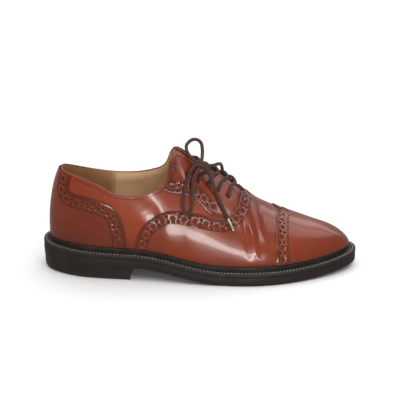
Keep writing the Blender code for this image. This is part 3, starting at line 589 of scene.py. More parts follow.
    def climb(self, place: Array, rise: float) -> Array:
        """Share of a rib's height that lies a rise above its foot.

        Args:
            place: Places along the ribs' loop.
            rise: The rise in metres.

        Returns:
            The shares.
        """
        low = np.zeros(np.shape(place))
        high = np.ones(np.shape(place))
        foot = self.point(place, low)[..., 2]
        for _ in range(20):
            middle = (low + high) / 2
            above = self.point(place, middle)[..., 2] - foot > rise
            high = np.where(above, middle, high)
            low = np.where(above, low, middle)
        return high

    def on_side(self, side: float, places: Array) -> tuple[Array, Array]:
        """Place along the loop and height of (rib, height) places on one side.

        Args:
            side: -1 for the lateral side, 1 for the medial one.
            places: Rows of (rib, height).

        Returns:
            The places along the loop, and the shares of height there.
        """
        ribs = places[..., 0]
        heights = places[..., 1] * self.topline(ribs, side) / self.topline(ribs, LATERAL)
        return (ribs if side < 0 else ROUND - ribs), heights

    def shift(self, places: Array, move: Array) -> Array:
        """Places moved on the lateral side by vectors that lie in the leather.

        Args:
            places: Rows of (rib, height).
            move: A vector for each row.

        Returns:
            The new rows.
        """
        ribs, heights = places[:, 0], places[:, 1]
        on, up = self.rib_step, self.height_step
        by_rib = (self.point(ribs + on, heights) - self.point(ribs - on, heights)) / (2 * on)
        by_height = (self.point(ribs, heights + up) - self.point(ribs, heights - up)) / (2 * up)
        a = (by_rib**2).sum(-1)
        b = (by_rib * by_height).sum(-1)
        c = (by_height**2).sum(-1)
        p = (by_rib * move).sum(-1)
        q = (by_height * move).sum(-1)
        down = a * c - b * b
        return places + np.stack([(c * p - b * q) / down, (a * q - b * p) / down], axis=1)

    def inward(self, places: Array, distance: Array, turn: float, steps: int = 4) -> Array:
        """An edge moved across the leather, square to itself.

        Args:
            places: Rows of (rib, height) along the edge.
            distance: How far, one number or one for each row.
            turn: 1 to the left of the edge's run as seen from outside, -1 to its right.
            steps: Steps that the way is cut into.

        Returns:
            The moved rows.
        """
        run = np.gradient(self.point(places[:, 0], places[:, 1]), axis=0)
        way = turn * np.cross(self.bare_normal(places), unit(run))
        distance = np.broadcast_to(distance, (len(places),))[:, None]
        for _ in range(steps):
            flat = self.bare_normal(places)
            way = unit(way - (way * flat).sum(-1, keepdims=True) * flat)
            places = self.shift(places, way * distance / steps)
        return places

    def bare_normal(self, places: Array) -> Array:
        """Normals of the bare last at (rib, height) rows of the lateral side.

        Args:
            places: Rows of (rib, height).

        Returns:
            A vector of length one for each place.
        """
        ribs, heights = places[:, 0], places[:, 1]
        on, up = self.rib_step, self.height_step
        run = self.point(ribs + on, heights) - self.point(ribs - on, heights)
        climb = self.point(ribs, heights + up) - self.point(ribs, heights - up)
        return unit(np.cross(run, climb))

    def along(self, rows: Array, spacing: float, shift: float = 0.0) -> Array:
        """Rows of (rib, height) at even real steps along a smooth edge.

        Args:
            rows: The edge's own rows.
            spacing: The step in metres.
            shift: Metres left free at both ends.

        Returns:
            The even rows.
        """
        rows = np.asarray(rows, float)
        knots = lengths_along(rows * np.array([1.0, 4.0]))
        at = np.linspace(0, knots[-1], 400)
        fine = np.stack([eased(knots, column, at) for column in rows.T], axis=1)
        return self.respaced(fine, spacing, shift)

    def respaced(self, rows: Array, spacing: float, shift: float = 0.0) -> Array:
        """Rows of (rib, height) at even real steps along a polyline of rows.

        Args:
            rows: The polyline's own rows.
            spacing: The step in metres.
            shift: Metres left free at both ends.

        Returns:
            The even rows.
        """
        lengths = lengths_along(self.point(rows[:, 0], rows[:, 1]))
        span = lengths[-1] - 2 * shift
        count = max(2, int(round(span / spacing)) + 1)
        return read_along(rows, lengths, shift + np.linspace(0, span, count))


LAST = Last()


class Shader:
    """A procedural material that is put together node by node."""

    def __init__(self, name: str) -> None:
        """Start an empty material with one Principled shader.

        Args:
            name: The material's name.
        """
        self.material = bpy.data.materials.new(name)
        self.material.use_nodes = True
        self.tree = self.material.node_tree
        self.surface = self.tree.nodes["Principled BSDF"]
        self.place = self.node("ShaderNodeTexCoord").outputs["Object"]

    def plug(self, socket: Socket, value: Value) -> None:
        """Link a socket to another one, or set it to a plain value.

        Args:
            socket: The socket that is fed.
            value: What feeds it.
        """
        if isinstance(value, Socket):
            self.tree.links.new(value, socket)
        else:
            socket.default_value = value

    def node(self, kind: str, settings: dict | None = None, **inputs: Value) -> bpy.types.Node:
        """Add a node.

        Args:
            kind: Blender's name for the kind of node.
            settings: The node's own properties.
            inputs: Values or sockets, by the input's name with underscores for spaces.

        Returns:
            The node.
        """
        made = self.tree.nodes.new(kind)
        for name, value in (settings or {}).items():
            setattr(made, name, value)
        for name, value in inputs.items():
            self.plug(made.inputs[name.replace("_", " ")], value)
        return made

    def noise(self, scale: float, detail: float = 3.0, rough: float = 0.5) -> Socket:
        """Smooth noise of so many waves to the metre.

        Args:
            scale: Waves to the metre.
            detail: Octaves.
            rough: Their strength.

        Returns:
            The socket that gives it.
        """
        made = self.node("ShaderNodeTexNoise", Vector=self.place, Scale=scale, Detail=detail,
                         Roughness=rough)
        return made.outputs["Fac"]

    def cells(self, scale: float) -> Socket:
        """Distance to the middle of cells of so many to the metre."""
        made = self.node("ShaderNodeTexVoronoi", Vector=self.place, Scale=scale)
        return made.outputs["Distance"]

    def spread(self, value: Socket, low: float, high: float, start: float = 0.3,
               end: float = 0.7) -> Socket:
        """A value from start to end turned into one from low to high.

        Args:
            value: The value.
            low: What start becomes.
            high: What end becomes.
            start: Where the change begins.
            end: Where it is complete.

        Returns:
            The socket that gives it.
        """
        made = self.node("ShaderNodeMapRange", {"clamp": True}, Value=value, From_Min=start,
                         From_Max=end, To_Min=low, To_Max=high)
        return made.outputs["Result"]

    def mixed(self, share: Value, first: Value, second: Value) -> Socket:
        """One colour turning into another.

        Args:
            share: The second colour's share.
            first: The first colour.
            second: The second colour.

        Returns:
            The socket that gives it.
        """
        made = self.tree.nodes.new("ShaderNodeMix")
        made.data_type = "RGBA"
        for at, value in ((0, share), (6, first), (7, second)):
            self.plug(made.inputs[at], value)
        return made.outputs[2]

    def larger(self, first: Socket, second: Socket) -> Socket:
        """The larger of two values.

        Args:
            first: One value.
            second: The other one.

        Returns:
            The socket that gives it.
        """
        made = self.tree.nodes.new("ShaderNodeMath")
        made.operation = "MAXIMUM"
        self.plug(made.inputs[0], first)
        self.plug(made.inputs[1], second)
        return made.outputs[0]

    def relief(self, height: Socket, strength: float, depth: float,
               under: Socket | None = None) -> Socket:
        """A bump, on top of another one if it is given.

        Args:
            height: The bump's height.
            strength: How strong it is, 0 to 1.
            depth: Its depth in metres.
            under: The bump that it lies on.

        Returns:
            The socket that gives it.
        """
        made = self.node("ShaderNodeBump", Height=height, Strength=strength, Distance=depth)
        if under is not None:
            self.plug(made.inputs["Normal"], under)
        return made.outputs["Normal"]

    def painted(self, name: str) -> Socket:
        """A value that is kept on the mesh's own points."""
        return self.node("ShaderNodeAttribute", {"attribute_name": name}).outputs["Fac"]

    def feed(self, **inputs: Value) -> bpy.types.Material:
        """Set the shader's sockets and give the finished material.

        Args:
            inputs: Values or sockets, by the input's name with underscores for spaces.

        Returns:
            The material.
        """
        for name, value in inputs.items():
            self.plug(self.surface.inputs[name.replace("_", " ")], value)
        return self.material


@dataclass(frozen=True)
class Calf:
    """Polished calf leather, darker where the mesh says so: painted shade near the welt, and a
    darker tone at the panels' edges.
    """

    name: str
    light: tuple = (0.275, 0.043, 0.009, 1.0)
    deep: tuple = (0.205, 0.028, 0.007, 1.0)
    burnt_and_shade: tuple = (0.045, 0.008, 0.004, 1.0)
    roughness: tuple = (0.21, 0.28)
    specular: float = 0.32
    coat: float = 0.30
    coat_roughness: float = 0.09
    grain: float = 0.00010

    def material(self) -> bpy.types.Material:
        """The leather's material.

        Returns:
            The finished material.
        """
        shader = Shader(self.name)
        cloud = shader.spread(shader.noise(16.0, 4.0, 0.6), 0.0, 1.0, 0.36, 0.66)
        colour = shader.mixed(cloud, self.deep, self.light)
        fleck = shader.spread(shader.noise(420.0, 2.0), 0.0, 0.16, 0.5, 0.8)
        colour = shader.mixed(fleck, colour, self.burnt_and_shade)
        # Painted shade: the mesh's value darkens the leather towards the welt, and also along the
        # panels' free edges and the collar's rolled edge.
        colour = shader.mixed(shader.painted("tone_and_shade"), colour, self.burnt_and_shade)
        fine = shader.relief(shader.cells(1500.0), 0.30, self.grain)
        soft = shader.relief(shader.noise(150.0, 3.0), 0.10, 0.0005, fine)
        wave = shader.relief(shader.noise(45.0, 2.0), 0.08, 0.0010, soft)
        rough = shader.spread(shader.noise(55.0, 4.0), self.roughness[0], self.roughness[1])
        return shader.feed(Base_Color=colour, Roughness=rough, Normal=wave, Coat_Weight=self.coat,
                           Coat_Roughness=self.coat_roughness, Specular_IOR_Level=self.specular)


@dataclass(frozen=True)
class Hide:
    """Unpolished leather, such as a lining, a cut edge or an insole."""

    name: str
    light: tuple
    deep: tuple
    roughness: float = 0.62
    grain: float = 0.00025
    clouding: float = 1.0

    def material(self) -> bpy.types.Material:
        """The leather's material.

        Returns:
            The finished material.
        """
        shader = Shader(self.name)
        cloud = shader.spread(shader.noise(26.0, 5.0, 0.6), 1 - self.clouding, 1.0, 0.34, 0.68)
        colour = shader.mixed(cloud, self.deep, self.light)
        # The mesh's value darkens it: the heel lining's own darker tone, painted shade low in the
        # shoe, and painted shadow in the punched holes.
        colour = shader.mixed(shader.painted("tone_and_shade"), colour, self.deep)
        fine = shader.relief(shader.noise(1300.0, 3.0), 0.5, self.grain)
        soft = shader.relief(shader.noise(120.0, 3.0), 0.35, 0.0008, fine)
        return shader.feed(Base_Color=colour, Roughness=self.roughness, Normal=soft,
                           Specular_IOR_Level=0.35)


@dataclass(frozen=True)
class Rubber:
    """Dark sole rubber or waxed welt, greyer where it is rubbed."""

    name: str
    dark: tuple = (0.013, 0.0088, 0.0074, 1.0)
    rubbed: tuple = (0.036, 0.027, 0.023, 1.0)
    roughness: tuple = (0.42, 0.60)
    specular: float = 0.23
    grain: float = 0.00020

    def material(self) -> bpy.types.Material:
        """The rubber's material.

        Returns:
            The finished material.
        """
        shader = Shader(self.name)
        cloud = shader.spread(shader.noise(60.0, 6.0, 0.65), 0.0, 0.55, 0.42, 0.75)
        wear = shader.larger(cloud, shader.painted("wear"))
        colour = shader.mixed(wear, self.dark, self.rubbed)
        fine = shader.relief(shader.noise(2200.0, 2.0), 0.4, self.grain)
        soft = shader.relief(shader.noise(240.0, 4.0), 0.3, 0.0005, fine)
        rough = shader.spread(shader.noise(90.0, 4.0), self.roughness[0], self.roughness[1])
        return shader.feed(Base_Color=colour, Roughness=rough, Normal=soft,
                           Specular_IOR_Level=self.specular)


@dataclass(frozen=True)
class Yarn:
    """Twisted thread or braided cotton."""

    name: str
    light: tuple
    deep: tuple
    roughness: float = 0.75
    sheen: float = 0.25

    def material(self) -> bpy.types.Material:
        """The yarn's material.

        Returns:
            The finished material.
        """
        shader = Shader(self.name)
        cloud = shader.spread(shader.noise(700.0, 4.0), 0.0, 1.0, 0.3, 0.7)
        colour = shader.mixed(cloud, self.deep, self.light)
        fine = shader.relief(shader.noise(4200.0, 2.0), 0.6, 0.0002)
        return shader.feed(Base_Color=colour, Roughness=self.roughness, Normal=fine,
                           Sheen_Weight=self.sheen, Sheen_Roughness=0.5, Specular_IOR_Level=0.25)


@dataclass(frozen=True)
class Metal:
    """Thin brass, slightly dulled."""

    name: str
    colour: tuple = (0.62, 0.50, 0.33, 1.0)
    dull: tuple = (0.30, 0.22, 0.13, 1.0)

    def material(self) -> bpy.types.Material:
        """The metal's material.

        Returns:
            The finished material.
        """
        shader = Shader(self.name)
        cloud = shader.spread(shader.noise(300.0, 4.0), 0.0, 0.7, 0.4, 0.8)
        colour = shader.mixed(cloud, self.colour, self.dull)
        rough = shader.spread(shader.noise(900.0, 3.0), 0.22, 0.42)
        return shader.feed(Base_Color=colour, Roughness=rough, Metallic=1.0)


Finish = Calf | Hide | Rubber | Yarn | Metal
QUARTER_CALF = Calf("quarter calf")
PANEL_CALF = Calf("panel calf", light=(0.205, 0.030, 0.006, 1.0), deep=(0.145, 0.019, 0.005, 1.0))
TONGUE_CALF = Calf("tongue calf", roughness=(0.36, 0.5), coat=0.15)
# Cut edges are dark raw leather; their deepest colour is painted shadow on the holes' walls.
CUT_EDGE = Hide("cut leather edge", (0.085, 0.021, 0.010, 1.0), (0.018, 0.006, 0.004, 1.0))
# The holes' floors: the brown of the leather below, and near-black painted shadow.
PUNCHED_FLOOR_AND_SHADOW = Hide("punched floor and shadow", (0.150, 0.030, 0.011, 1.0), (0.010, 0.004, 0.003, 1.0),
                     roughness=0.6, clouding=0.3)
LINING_HIDE = Hide("lining calf", (0.88, 0.60, 0.35, 1.0), (0.27, 0.125, 0.042, 1.0), clouding=0.4)
SOCK_HIDE = Hide("insole hide", (0.46, 0.27, 0.11, 1.0), (0.28, 0.15, 0.055, 1.0))
SOLE_RUBBER = Rubber("outsole rubber")
HEEL_RUBBER = Rubber("heel rubber", dark=(0.014, 0.0095, 0.008, 1.0))
WELT_WAX = Rubber("waxed welt", dark=(0.011, 0.009, 0.008, 1.0), rubbed=(0.048, 0.037, 0.032, 1.0))
UPPER_THREAD = Yarn("upper thread", (0.028, 0.011, 0.008, 1.0), (0.012, 0.005, 0.004, 1.0),
                    roughness=0.6, sheen=0.05)
WELT_THREAD = Yarn("welt thread", (0.42, 0.36, 0.30, 1.0), (0.20, 0.16, 0.13, 1.0))
LACE_COTTON = Yarn("lace cotton", (0.084, 0.036, 0.024, 1.0), (0.034, 0.014, 0.009, 1.0),
                   sheen=0.06)
AGLET_BRASS = Metal("aglet brass")


class Work:
    """Points and faces that are gathered for one piece."""

    def __init__(self, name: str) -> None:
        """Start an empty piece.

        Args:
            name: The piece's name.
        """
        self.name = name
        self.points: list[Array] = []
        self.faces: list[tuple] = []
        self.slots: list[int] = []
        self.normals: list[Array] = []
        self.values: list[Array] = []
        self.count = 0

    def add(self, points: Array, faces: list, slot: int = 0, normals: Array | None = None,
            value: Array | float = 0.0) -> None:
        """Add points and the faces between them.

        Args:
            points: The points.
            faces: Corner numbers, counted from this call's first point.
            slot: Which of the piece's materials the faces take.
            normals: The leather's own normals, where they are known.
            value: The darker tone and painted shade, or the wear, of each point.
        """
        points = np.asarray(points, float).reshape(-1, 3)
        start = self.count
        self.points.append(points)
        self.normals.append(np.zeros_like(points) if normals is None else normals.reshape(-1, 3))
        self.values.append(np.broadcast_to(np.asarray(value, float).ravel(), (len(points),)))
        self.faces.extend(tuple(corner + start for corner in face) for face in faces)
        self.slots.extend([slot] * len(faces))
        self.count += len(points)

    def grid(self, grid: Array, closed: bool = False, flip: bool = False,
             value: Array | float = 0.0) -> None:
        """Add a grid of points as a sheet, or as a tube where its rows close on themselves.

        Args:
            grid: The rows of points.
            closed: Whether each row closes on itself.
            flip: Whether the faces turn the other way.
            value: The darker tone and painted shade, or the wear, of each point.
        """
        rows, columns = grid.shape[:2]
        faces = []
        for row in range(rows - 1):
            for left in range(columns if closed else columns - 1):
                right = (left + 1) % columns
                a, b = row * columns + left, row * columns + right
                face = (a, b, b + columns, a + columns)
                faces.append(face[::-1] if flip else face)
        self.add(grid.reshape(-1, 3), faces, value=value)

    def piece(self, finishes: list[Finish], paint: str = "tone_and_shade",
              weld: float = 0.0) -> bpy.types.Object:
        """Make the object.

        Args:
            finishes: The finish of each material slot.
            paint: The name under which the points' values are kept.
            weld: Points closer than this become one, 0 for none.

        Returns:
            The object, riding on the shoe's body.
        """
        mesh = bpy.data.meshes.new(self.name)
        points = np.vstack(self.points)
        mesh.from_pydata(points.tolist(), [], self.faces)
        mesh.attributes.new(paint, "FLOAT", "POINT").data.foreach_set(
            "value", np.clip(np.concatenate(self.values), 0, 1).astype(np.float32))
        normals = np.vstack(self.normals)
        own = bool(np.any(normals))
        if own:
            mesh.attributes.new("leather_normal", "FLOAT_VECTOR", "POINT").data.foreach_set(
                "vector", normals.astype(np.float32).ravel())
        for finish in finishes:
            mesh.materials.append(finished(finish))
        mesh.polygons.foreach_set("material_index", self.slots)
        mesh.shade_smooth()
        if weld:
            work = bmesh.new()
            work.from_mesh(mesh)
            bmesh.ops.remove_doubles(work, verts=work.verts, dist=weld)
            work.to_mesh(mesh)
            work.free()
        mesh.validate()
        if own:
            kept = np.zeros(len(mesh.vertices) * 3, np.float32)
            mesh.attributes["leather_normal"].data.foreach_get("vector", kept)
            mesh.normals_split_custom_set_from_vertices(kept.reshape(-1, 3).tolist())
        made = bpy.data.objects.new(self.name, mesh)
        bpy.context.scene.collection.objects.link(made)
        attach(made, BODY)
        LOG.info("%s: %d points, %d faces", self.name, len(mesh.vertices), len(mesh.polygons))
        return made


def finished(finish: Finish) -> bpy.types.Material:
    """A finish's material, made once."""
    return bpy.data.materials.get(finish.name) or finish.material()


@dataclass(frozen=True)
class Seam:
    """A row of stitches of one length, gap and thickness."""

    length: float = 0.0018
    gap: float = 0.0007
    thickness: float = 0.00075
    around: int = 6

    def sew(self, work: Work, points: Array, normals: Array) -> None:
        """Lay stitches along a line on the leather.

        Args:
            work: The piece that the stitches join.
            points: The line.
            normals: The leather's normals along it.
        """
        lengths = lengths_along(points)
        count = int(lengths[-1] / (self.length + self.gap))
        if count < 1:
            return
        middles = (np.arange(count) + 0.5) * lengths[-1] / count
        at = read_along(points, lengths, middles)
        up = unit(read_along(normals, lengths, middles))
        half = self.length / 2
        before = read_along(points, lengths, middles - half)
        after = read_along(points, lengths, middles + half)
        run = unit(after - before)
        across = unit(np.cross(up, run))
        profile = ((-1.0, 0.25), (-0.8, 0.75), (-0.35, 1.0), (0.35, 1.0), (0.8, 0.75), (1.0, 0.25))
        turns = np.arange(self.around) * 2 * np.pi / self.around
        rings = []
        for share, girth in profile:
            radius = girth * self.thickness / 2
            sink = (1 - girth) * self.thickness * 0.5
            for turn in turns:
                rings.append(at + share * half * run + radius * np.cos(turn) * across
                             + (radius * np.sin(turn) - sink) * up)
        stack = np.stack(rings, axis=1)
        faces = []
        for ring in range(len(profile) - 1):
            for left in range(self.around):
                a = ring * self.around + left
                b = ring * self.around + (left + 1) % self.around
                faces.append((a, b, b + self.around, a + self.around))
        faces.append(tuple(range(self.around))[::-1])
        end = (len(profile) - 1) * self.around
        faces.append(tuple(range(end, end + self.around)))
        for stitch in stack:
            work.add(stitch, faces)


@dataclass(frozen=True)
class Brogueing:
    """A band of punched holes between rows of stitches, along a panel's edge."""

    stitch_rows: tuple = (0.0013, 0.0025)
    middle: float = 0.0064
    far_rows: tuple = (0.0104, 0.0116)
    pitch: float = 0.0102
    large: float = 0.0017
    small: float = 0.00085
    pair_apart: float = 0.0021
    start: float = 0.0055
    per_pitch: int = 20

    def holes(self, edge: Array, turn: float) -> list[tuple[Array, float]]:
        """Middles and radii of the band's holes.

        Args:
            edge: Rows of (rib, height) along the edge.
            turn: The side of the edge that the panel lies on.

        Returns:
            A list of (row of (rib, height), radius).
        """
        line = LAST.inward(LAST.respaced(edge, 0.001), self.middle, turn)
        dense = LAST.respaced(line, self.pitch / self.per_pitch, self.start)
        count = max(1, int(round((len(dense) - 1) / self.per_pitch)))
        marks = np.linspace(0, len(dense) - 1, 2 * count + 1).round().astype(int)
        found = [(dense[at], self.large) for at in marks[::2]]
        for at in marks[1::2]:
            piece = dense[at - 2:at + 3]
            for way in (-1, 1):
                moved = LAST.inward(piece, way * self.pair_apart, turn, 1)[2]
                found.append((moved, self.small))
        return found


@dataclass
class Panel:
    """A cut leather panel that lies on the upper, with punched holes and sewn edges."""

    name: str
    node: str
    stretches: list[tuple[Array, Edge]]
    level: float
    bands: list[tuple[Array, float, Brogueing]] = field(default_factory=list)
    extra_holes: list[tuple[Array, float]] = field(default_factory=list)
    extra_rows: list[Array] = field(default_factory=list)
    finish: Calf = PANEL_CALF
    sides: tuple = (LATERAL, MEDIAL)
    base: float = 0.0001
    lip: float = 0.00022
    pinking: tuple = (0.0011, 0.00040)  # Half a tooth's width, and half its depth
    pace: float = 0.0020
    floor_lift: float = 0.00025
    shallow: float = 0.0009
    wide: float = 0.00165
    # Painted shade towards the welt: how high it reaches and how dark it gets.
    shade_height: float = 0.016
    shade: float = 0.55
    plain_pace: float = 0.0010
    rim_points: tuple = (14, 9)  # Of a large and a small hole
    clear: float = 0.42
    lip_in: float = 0.00008
    edge_step: float = 0.001
    lip_turn: float = 0.3
    wall_turn: float = 0.35
    # How dark the free edges' tops and the outline's walls are, and the painted shadow left in the
    # middle of a wide hole's floor.
    lip_shade: float = 0.25
    edge_shade: float = 0.4
    floor_rings: tuple = (0.58, 1.06)  # Shares of the hole's radius
    floor_shade: float = 0.2

    def outline(self) -> tuple[Array, Array]:
        """The panel's outline as rows of (rib, height), and which rows are a free edge.

        Returns:
            The rows, and a mask of the free ones.
        """
        rows, free = [], []
        for stretch, kind in self.stretches:
            pace = self.pinking[0] if kind is Edge.PINKED else self.plain_pace
            line = LAST.respaced(stretch, pace)
            if kind is Edge.PINKED:
                teeth = np.zeros(len(line))
                ways = np.where(np.arange(1, len(line) - 1) % 2, 1.0, -1.0)
                teeth[1:-1] = ways * self.pinking[1]
                line = LAST.inward(line, teeth, 1.0, 1)
            rows.append(line[:-1])
            free.append(np.full(len(line) - 1, kind is not Edge.SEAM))
            if kind is Edge.SEAM:
                free[-1][0] = True
        return np.vstack(rows), np.concatenate(free)

    def circle(self, spot: Array, radius: float) -> Array:
        """A hole's rim as rows of (rib, height).

        Args:
            spot: The hole's middle.
            radius: Its radius.

        Returns:
            The rim's rows.
        """
        count = self.rim_points[0 if radius > 0.001 else 1]
        normal = LAST.bare_normal(spot[None])[0]
        first = unit(np.cross(normal, UP))
        second = np.cross(normal, first)
        turns = np.arange(count) * 2 * np.pi / count
        move = radius * (np.cos(turns)[:, None] * first + np.sin(turns)[:, None] * second)
        return LAST.shift(np.repeat(spot[None], count, axis=0), move)

    def chart(self, rows: Array) -> Array:
        """Rows of (rib, height) in nearly even metres, for cutting in the flat."""
        return rows * LAST.paces

    def inside(self, spots: Array, rim: Array) -> Array:
        """Which spots lie inside a closed line.

        Args:
            spots: Rows of two numbers.
            rim: The closed line's rows.

        Returns:
            True for each spot inside.
        """
        x, y = spots[:, 0][:, None], spots[:, 1][:, None]
        a, b = rim, np.roll(rim, -1, axis=0)
        crosses = (a[:, 1] > y) != (b[:, 1] > y)
        down = np.where(b[:, 1] == a[:, 1], 1e-12, b[:, 1] - a[:, 1])
        at = a[:, 0] + (y - a[:, 1]) * (b[:, 0] - a[:, 0]) / down
        return (crosses & (x < at)).sum(axis=1) % 2 == 1

    def cut(self, holes: list[tuple[Array, float]]) -> tuple[Array, list, Array, list]:
        """Cut the panel in the flat.

        Args:
            holes: Middle and radius of each hole.

        Returns:
            All rows of (rib, height), the triangles, the free rows' mask and the rims, each a
            list of row numbers in order.
        """
        outline, free = self.outline()
        rims = [self.circle(spot, radius) for spot, radius in holes]
        rims = [rim for rim in rims if self.inside(self.chart(rim), self.chart(outline)).all()]
        low, high = outline.min(0), outline.max(0)
        pace = self.pace / LAST.paces
        ribs = np.arange(low[0] + pace[0] / 2, high[0], pace[0])
        heights = np.arange(low[1] + pace[1] / 2, high[1], pace[1])
        grid = np.stack(np.meshgrid(ribs, heights), axis=-1)
        grid[::2, :, 0] += pace[0] / 2
        grid = grid.reshape(-1, 2)
        grid = grid[self.inside(self.chart(grid), self.chart(outline))]
        border = np.vstack([outline, *rims]) if rims else outline
        apart = np.linalg.norm(self.chart(grid)[:, None] - self.chart(border)[None], axis=-1).min(1)
        keep = apart > self.pace * self.clear
        for rim in rims:
            keep &= ~self.inside(self.chart(grid), self.chart(rim))
        rows = np.vstack([border, grid[keep]])
        loops, start = [], 0
        for rim in [outline, *rims]:
            loops.append(list(range(start, start + len(rim))))
            start += len(rim)
        edges = [edge for loop in loops for edge in zip(loop, loop[1:] + loop[:1])]
        flat = self.chart(rows) * 1000
        _, _, faces, source, _, _ = delaunay_2d_cdt(
            [Vector(spot) for spot in flat.tolist()], edges, [], 0, 1e-7, True)
        first = [origin[0] if origin else -1 for origin in source]
        faces = [tuple(first[corner] for corner in face) for face in faces]
        faces = [face for face in faces if min(face) >= 0 and len(set(face)) == 3]
        middles = flat[np.array(faces)].mean(axis=1) / 1000
        good = self.inside(middles, self.chart(outline))
        for rim in rims:
            good &= ~self.inside(middles, self.chart(rim))
        faces = [face for face, fine in zip(faces, good) if fine]
        mask = np.zeros(len(rows), bool)
        mask[:len(outline)] = free
        mask[len(outline):len(border)] = True
        return rows, faces, mask, loops

    def build(self, floors: Work, seams: Work) -> bpy.types.Object:
        """Make the panel, its holes' floors and its stitches.

        Args:
            floors: Gathers the holes' floors, darkened by painted shadow.
            seams: Gathers the stitches.

        Returns:
            The panel.
        """
        holes = [hole for edge, turn, band in self.bands for hole in band.holes(edge, turn)]
        holes += self.extra_holes
        rows, faces, free, loops = self.cut(holes)
        outward, lines = self.edges(self.chart(rows), loops)
        work = Work(self.name)
        for side in self.sides:
            place, height = LAST.on_side(side, rows)
            normal = LAST.skin_normal(place, height)
            ahead = rows + outward * self.edge_step / LAST.paces
            ahead_place, ahead_height = LAST.on_side(side, ahead)
            ahead_height = np.minimum(ahead_height, 1.0)
            away = unit(LAST.point(ahead_place, ahead_height) - LAST.point(place, height))
            soft = unit(normal + self.lip_turn * away)
            top_normal = np.where(free[:, None], soft, normal)
            top = LAST.off(place, height, self.level - self.lip * free)
            top = top - np.where(free[:, None], away * self.lip_in, 0.0)
            under = LAST.off(place, height, self.base)
            # Painted shade darkens the leather towards the welt; the free edges are darker too.
            foot = np.clip(1 - (top[:, 2] - LAST.welt_top(top[:, 0])) / self.shade_height, 0, 1)
            tone_and_shade = np.maximum(self.shade * foot**1.5, self.lip_shade * free)
            wound = faces if side < 0 else [face[::-1] for face in faces]
            sheet = np.vstack([top, under])
            normals = np.vstack([top_normal, -normal])
            count = len(rows)
            below = [tuple(corner + count for corner in face[::-1]) for face in wound]
            work.add(sheet, list(wound) + below, 0, normals, np.concatenate([tone_and_shade, tone_and_shade]))
            work.slots[-len(below):] = [1] * len(below)
            for number, line in enumerate(lines):
                around = len(line)
                walls = []
                for here in range(around):
                    there = (here + 1) % around
                    if free[line[here]] and free[line[there]]:
                        face = (here, here + around, there + around, there)
                        walls.append(face if side < 0 else face[::-1])
                rims = np.vstack([top[line], under[line]])
                turned = unit(self.wall_turn * normal[line] + away[line])
                turned = np.vstack([turned, away[line]])
                # The holes' walls take the cut edge's darkest colour as painted shadow; the
                # outline's walls take part of it.
                work.add(rims, walls, 1, turned, 1.0 if number else self.edge_shade)
            for loop in loops[1:]:
                self.floor(floors, side, rows[loop])
            self.sew(seams, side)
        made = work.piece([self.finish, CUT_EDGE])
        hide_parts(self.node)
        return made

    def edges(self, flat: Array, loops: list) -> tuple[Array, list[Array]]:
        """Which way the cut edges face, and their rows in the order that their walls need.

        Args:
            flat: The panel's rows in the flat.
            loops: Row numbers of the outline, then of each hole's rim.

        Returns:
            A flat vector for each row, zero away from the edges, and the ordered row numbers.
        """
        outward = np.zeros_like(flat)
        lines = []
        for loop in loops:
            rim = flat[loop]
            run = np.roll(rim, -1, axis=0) - np.roll(rim, 1, axis=0)
            side = np.stack([run[:, 1], -run[:, 0]], axis=1)
            area = (rim[:, 0] * np.roll(rim[:, 1], -1) - np.roll(rim[:, 0], -1) * rim[:, 1]).sum()
            sign = 1.0 if (area > 0) == (loop is loops[0]) else -1.0
            outward[loop] = unit(side) * sign
            lines.append(np.array(loop if sign > 0 else loop[::-1]))
        return outward, lines

    def floor(self, floors: Work, side: float, rim: Array) -> None:
        """The leather at the bottom of one hole, darkened by painted shadow at its rim and all over
        in a small hole; near the top and paler in the middle where the hole is wide.

        Args:
            floors: Gathers the holes' floors, darkened by painted shadow.
            side: -1 for the lateral side, 1 for the medial one.
            rim: The rim's rows of (rib, height).
        """
        place, height = LAST.on_side(side, np.vstack([rim.mean(0)[None], rim]))
        points = LAST.off(place, height, self.base + self.floor_lift)
        wide = np.linalg.norm(points[1:] - points[0], axis=1).mean() > self.wide
        if wide:
            points = LAST.off(place, height, self.level - self.shallow)
        middle = points[0]
        edge = points[1:] - middle
        near, far = self.floor_rings
        points = np.vstack([middle[None], middle + edge * near, middle + edge * far])
        count = len(rim)
        faces = []
        for at in range(count):
            here, there = 1 + at, 1 + (at + 1) % count
            faces.append((0, here, there))
            faces.append((here, here + count, there + count, there))
        # Painted shadow: dark at the rim, and all over in a small hole.
        value = np.ones(len(points))
        value[:1 + count] = self.floor_shade if wide else 1.0
        wound = faces if side < 0 else [face[::-1] for face in faces]
        floors.add(points, wound, value=value)

    def sew(self, seams: Work, side: float) -> None:
        """The panel's rows of stitches on one side.

        Args:
            seams: Gathers the stitches.
            side: -1 for the lateral side, 1 for the medial one.
        """
        lines = list(self.extra_rows)
        for edge, turn, band in self.bands:
            dense = LAST.respaced(edge, 0.0015)
            for reach in (*band.stitch_rows, *band.far_rows):
                lines.append(LAST.inward(dense, reach, turn))
        outline, _ = self.outline()
        for line in lines:
            place, height = LAST.on_side(side, line)
            inside = self.inside(self.chart(line), self.chart(outline)) & (height < 0.997)
            if inside.sum() < 3:
                continue
            place, height = place[inside], height[inside]
            points = LAST.off(place, height, self.level + THREAD_RISE)
            Seam().sew(seams, points, LAST.skin_normal(place, height))


def straight(start: tuple, end: tuple) -> Array:
    """Rows of (rib, height) on a straight line of the chart."""
    return np.linspace(start, end, 60)


def foot_row(start: float, end: float) -> Array:
    """Rows of (rib, height) along the welt's ridge."""
    ribs = np.linspace(start, end, 120)
    return np.stack([ribs, LAST.climb(ribs, RIDGE_LIFT)], axis=1)


def raised(rows: Array) -> Array:
    """An edge's fine rows, cut off where they pass under the welt's ridge.

    Args:
        rows: The edge's own rows.

    Returns:
        The fine rows.
    """
    fine = LAST.along(rows, 0.001)
    keep = fine[:, 1] > LAST.climb(fine[:, 0], RIDGE_LIFT)
    first = fine[keep][0]
    start = np.array([[first[0], LAST.climb(first[:1], RIDGE_LIFT)[0]]])
    return np.vstack([start, fine[keep]])


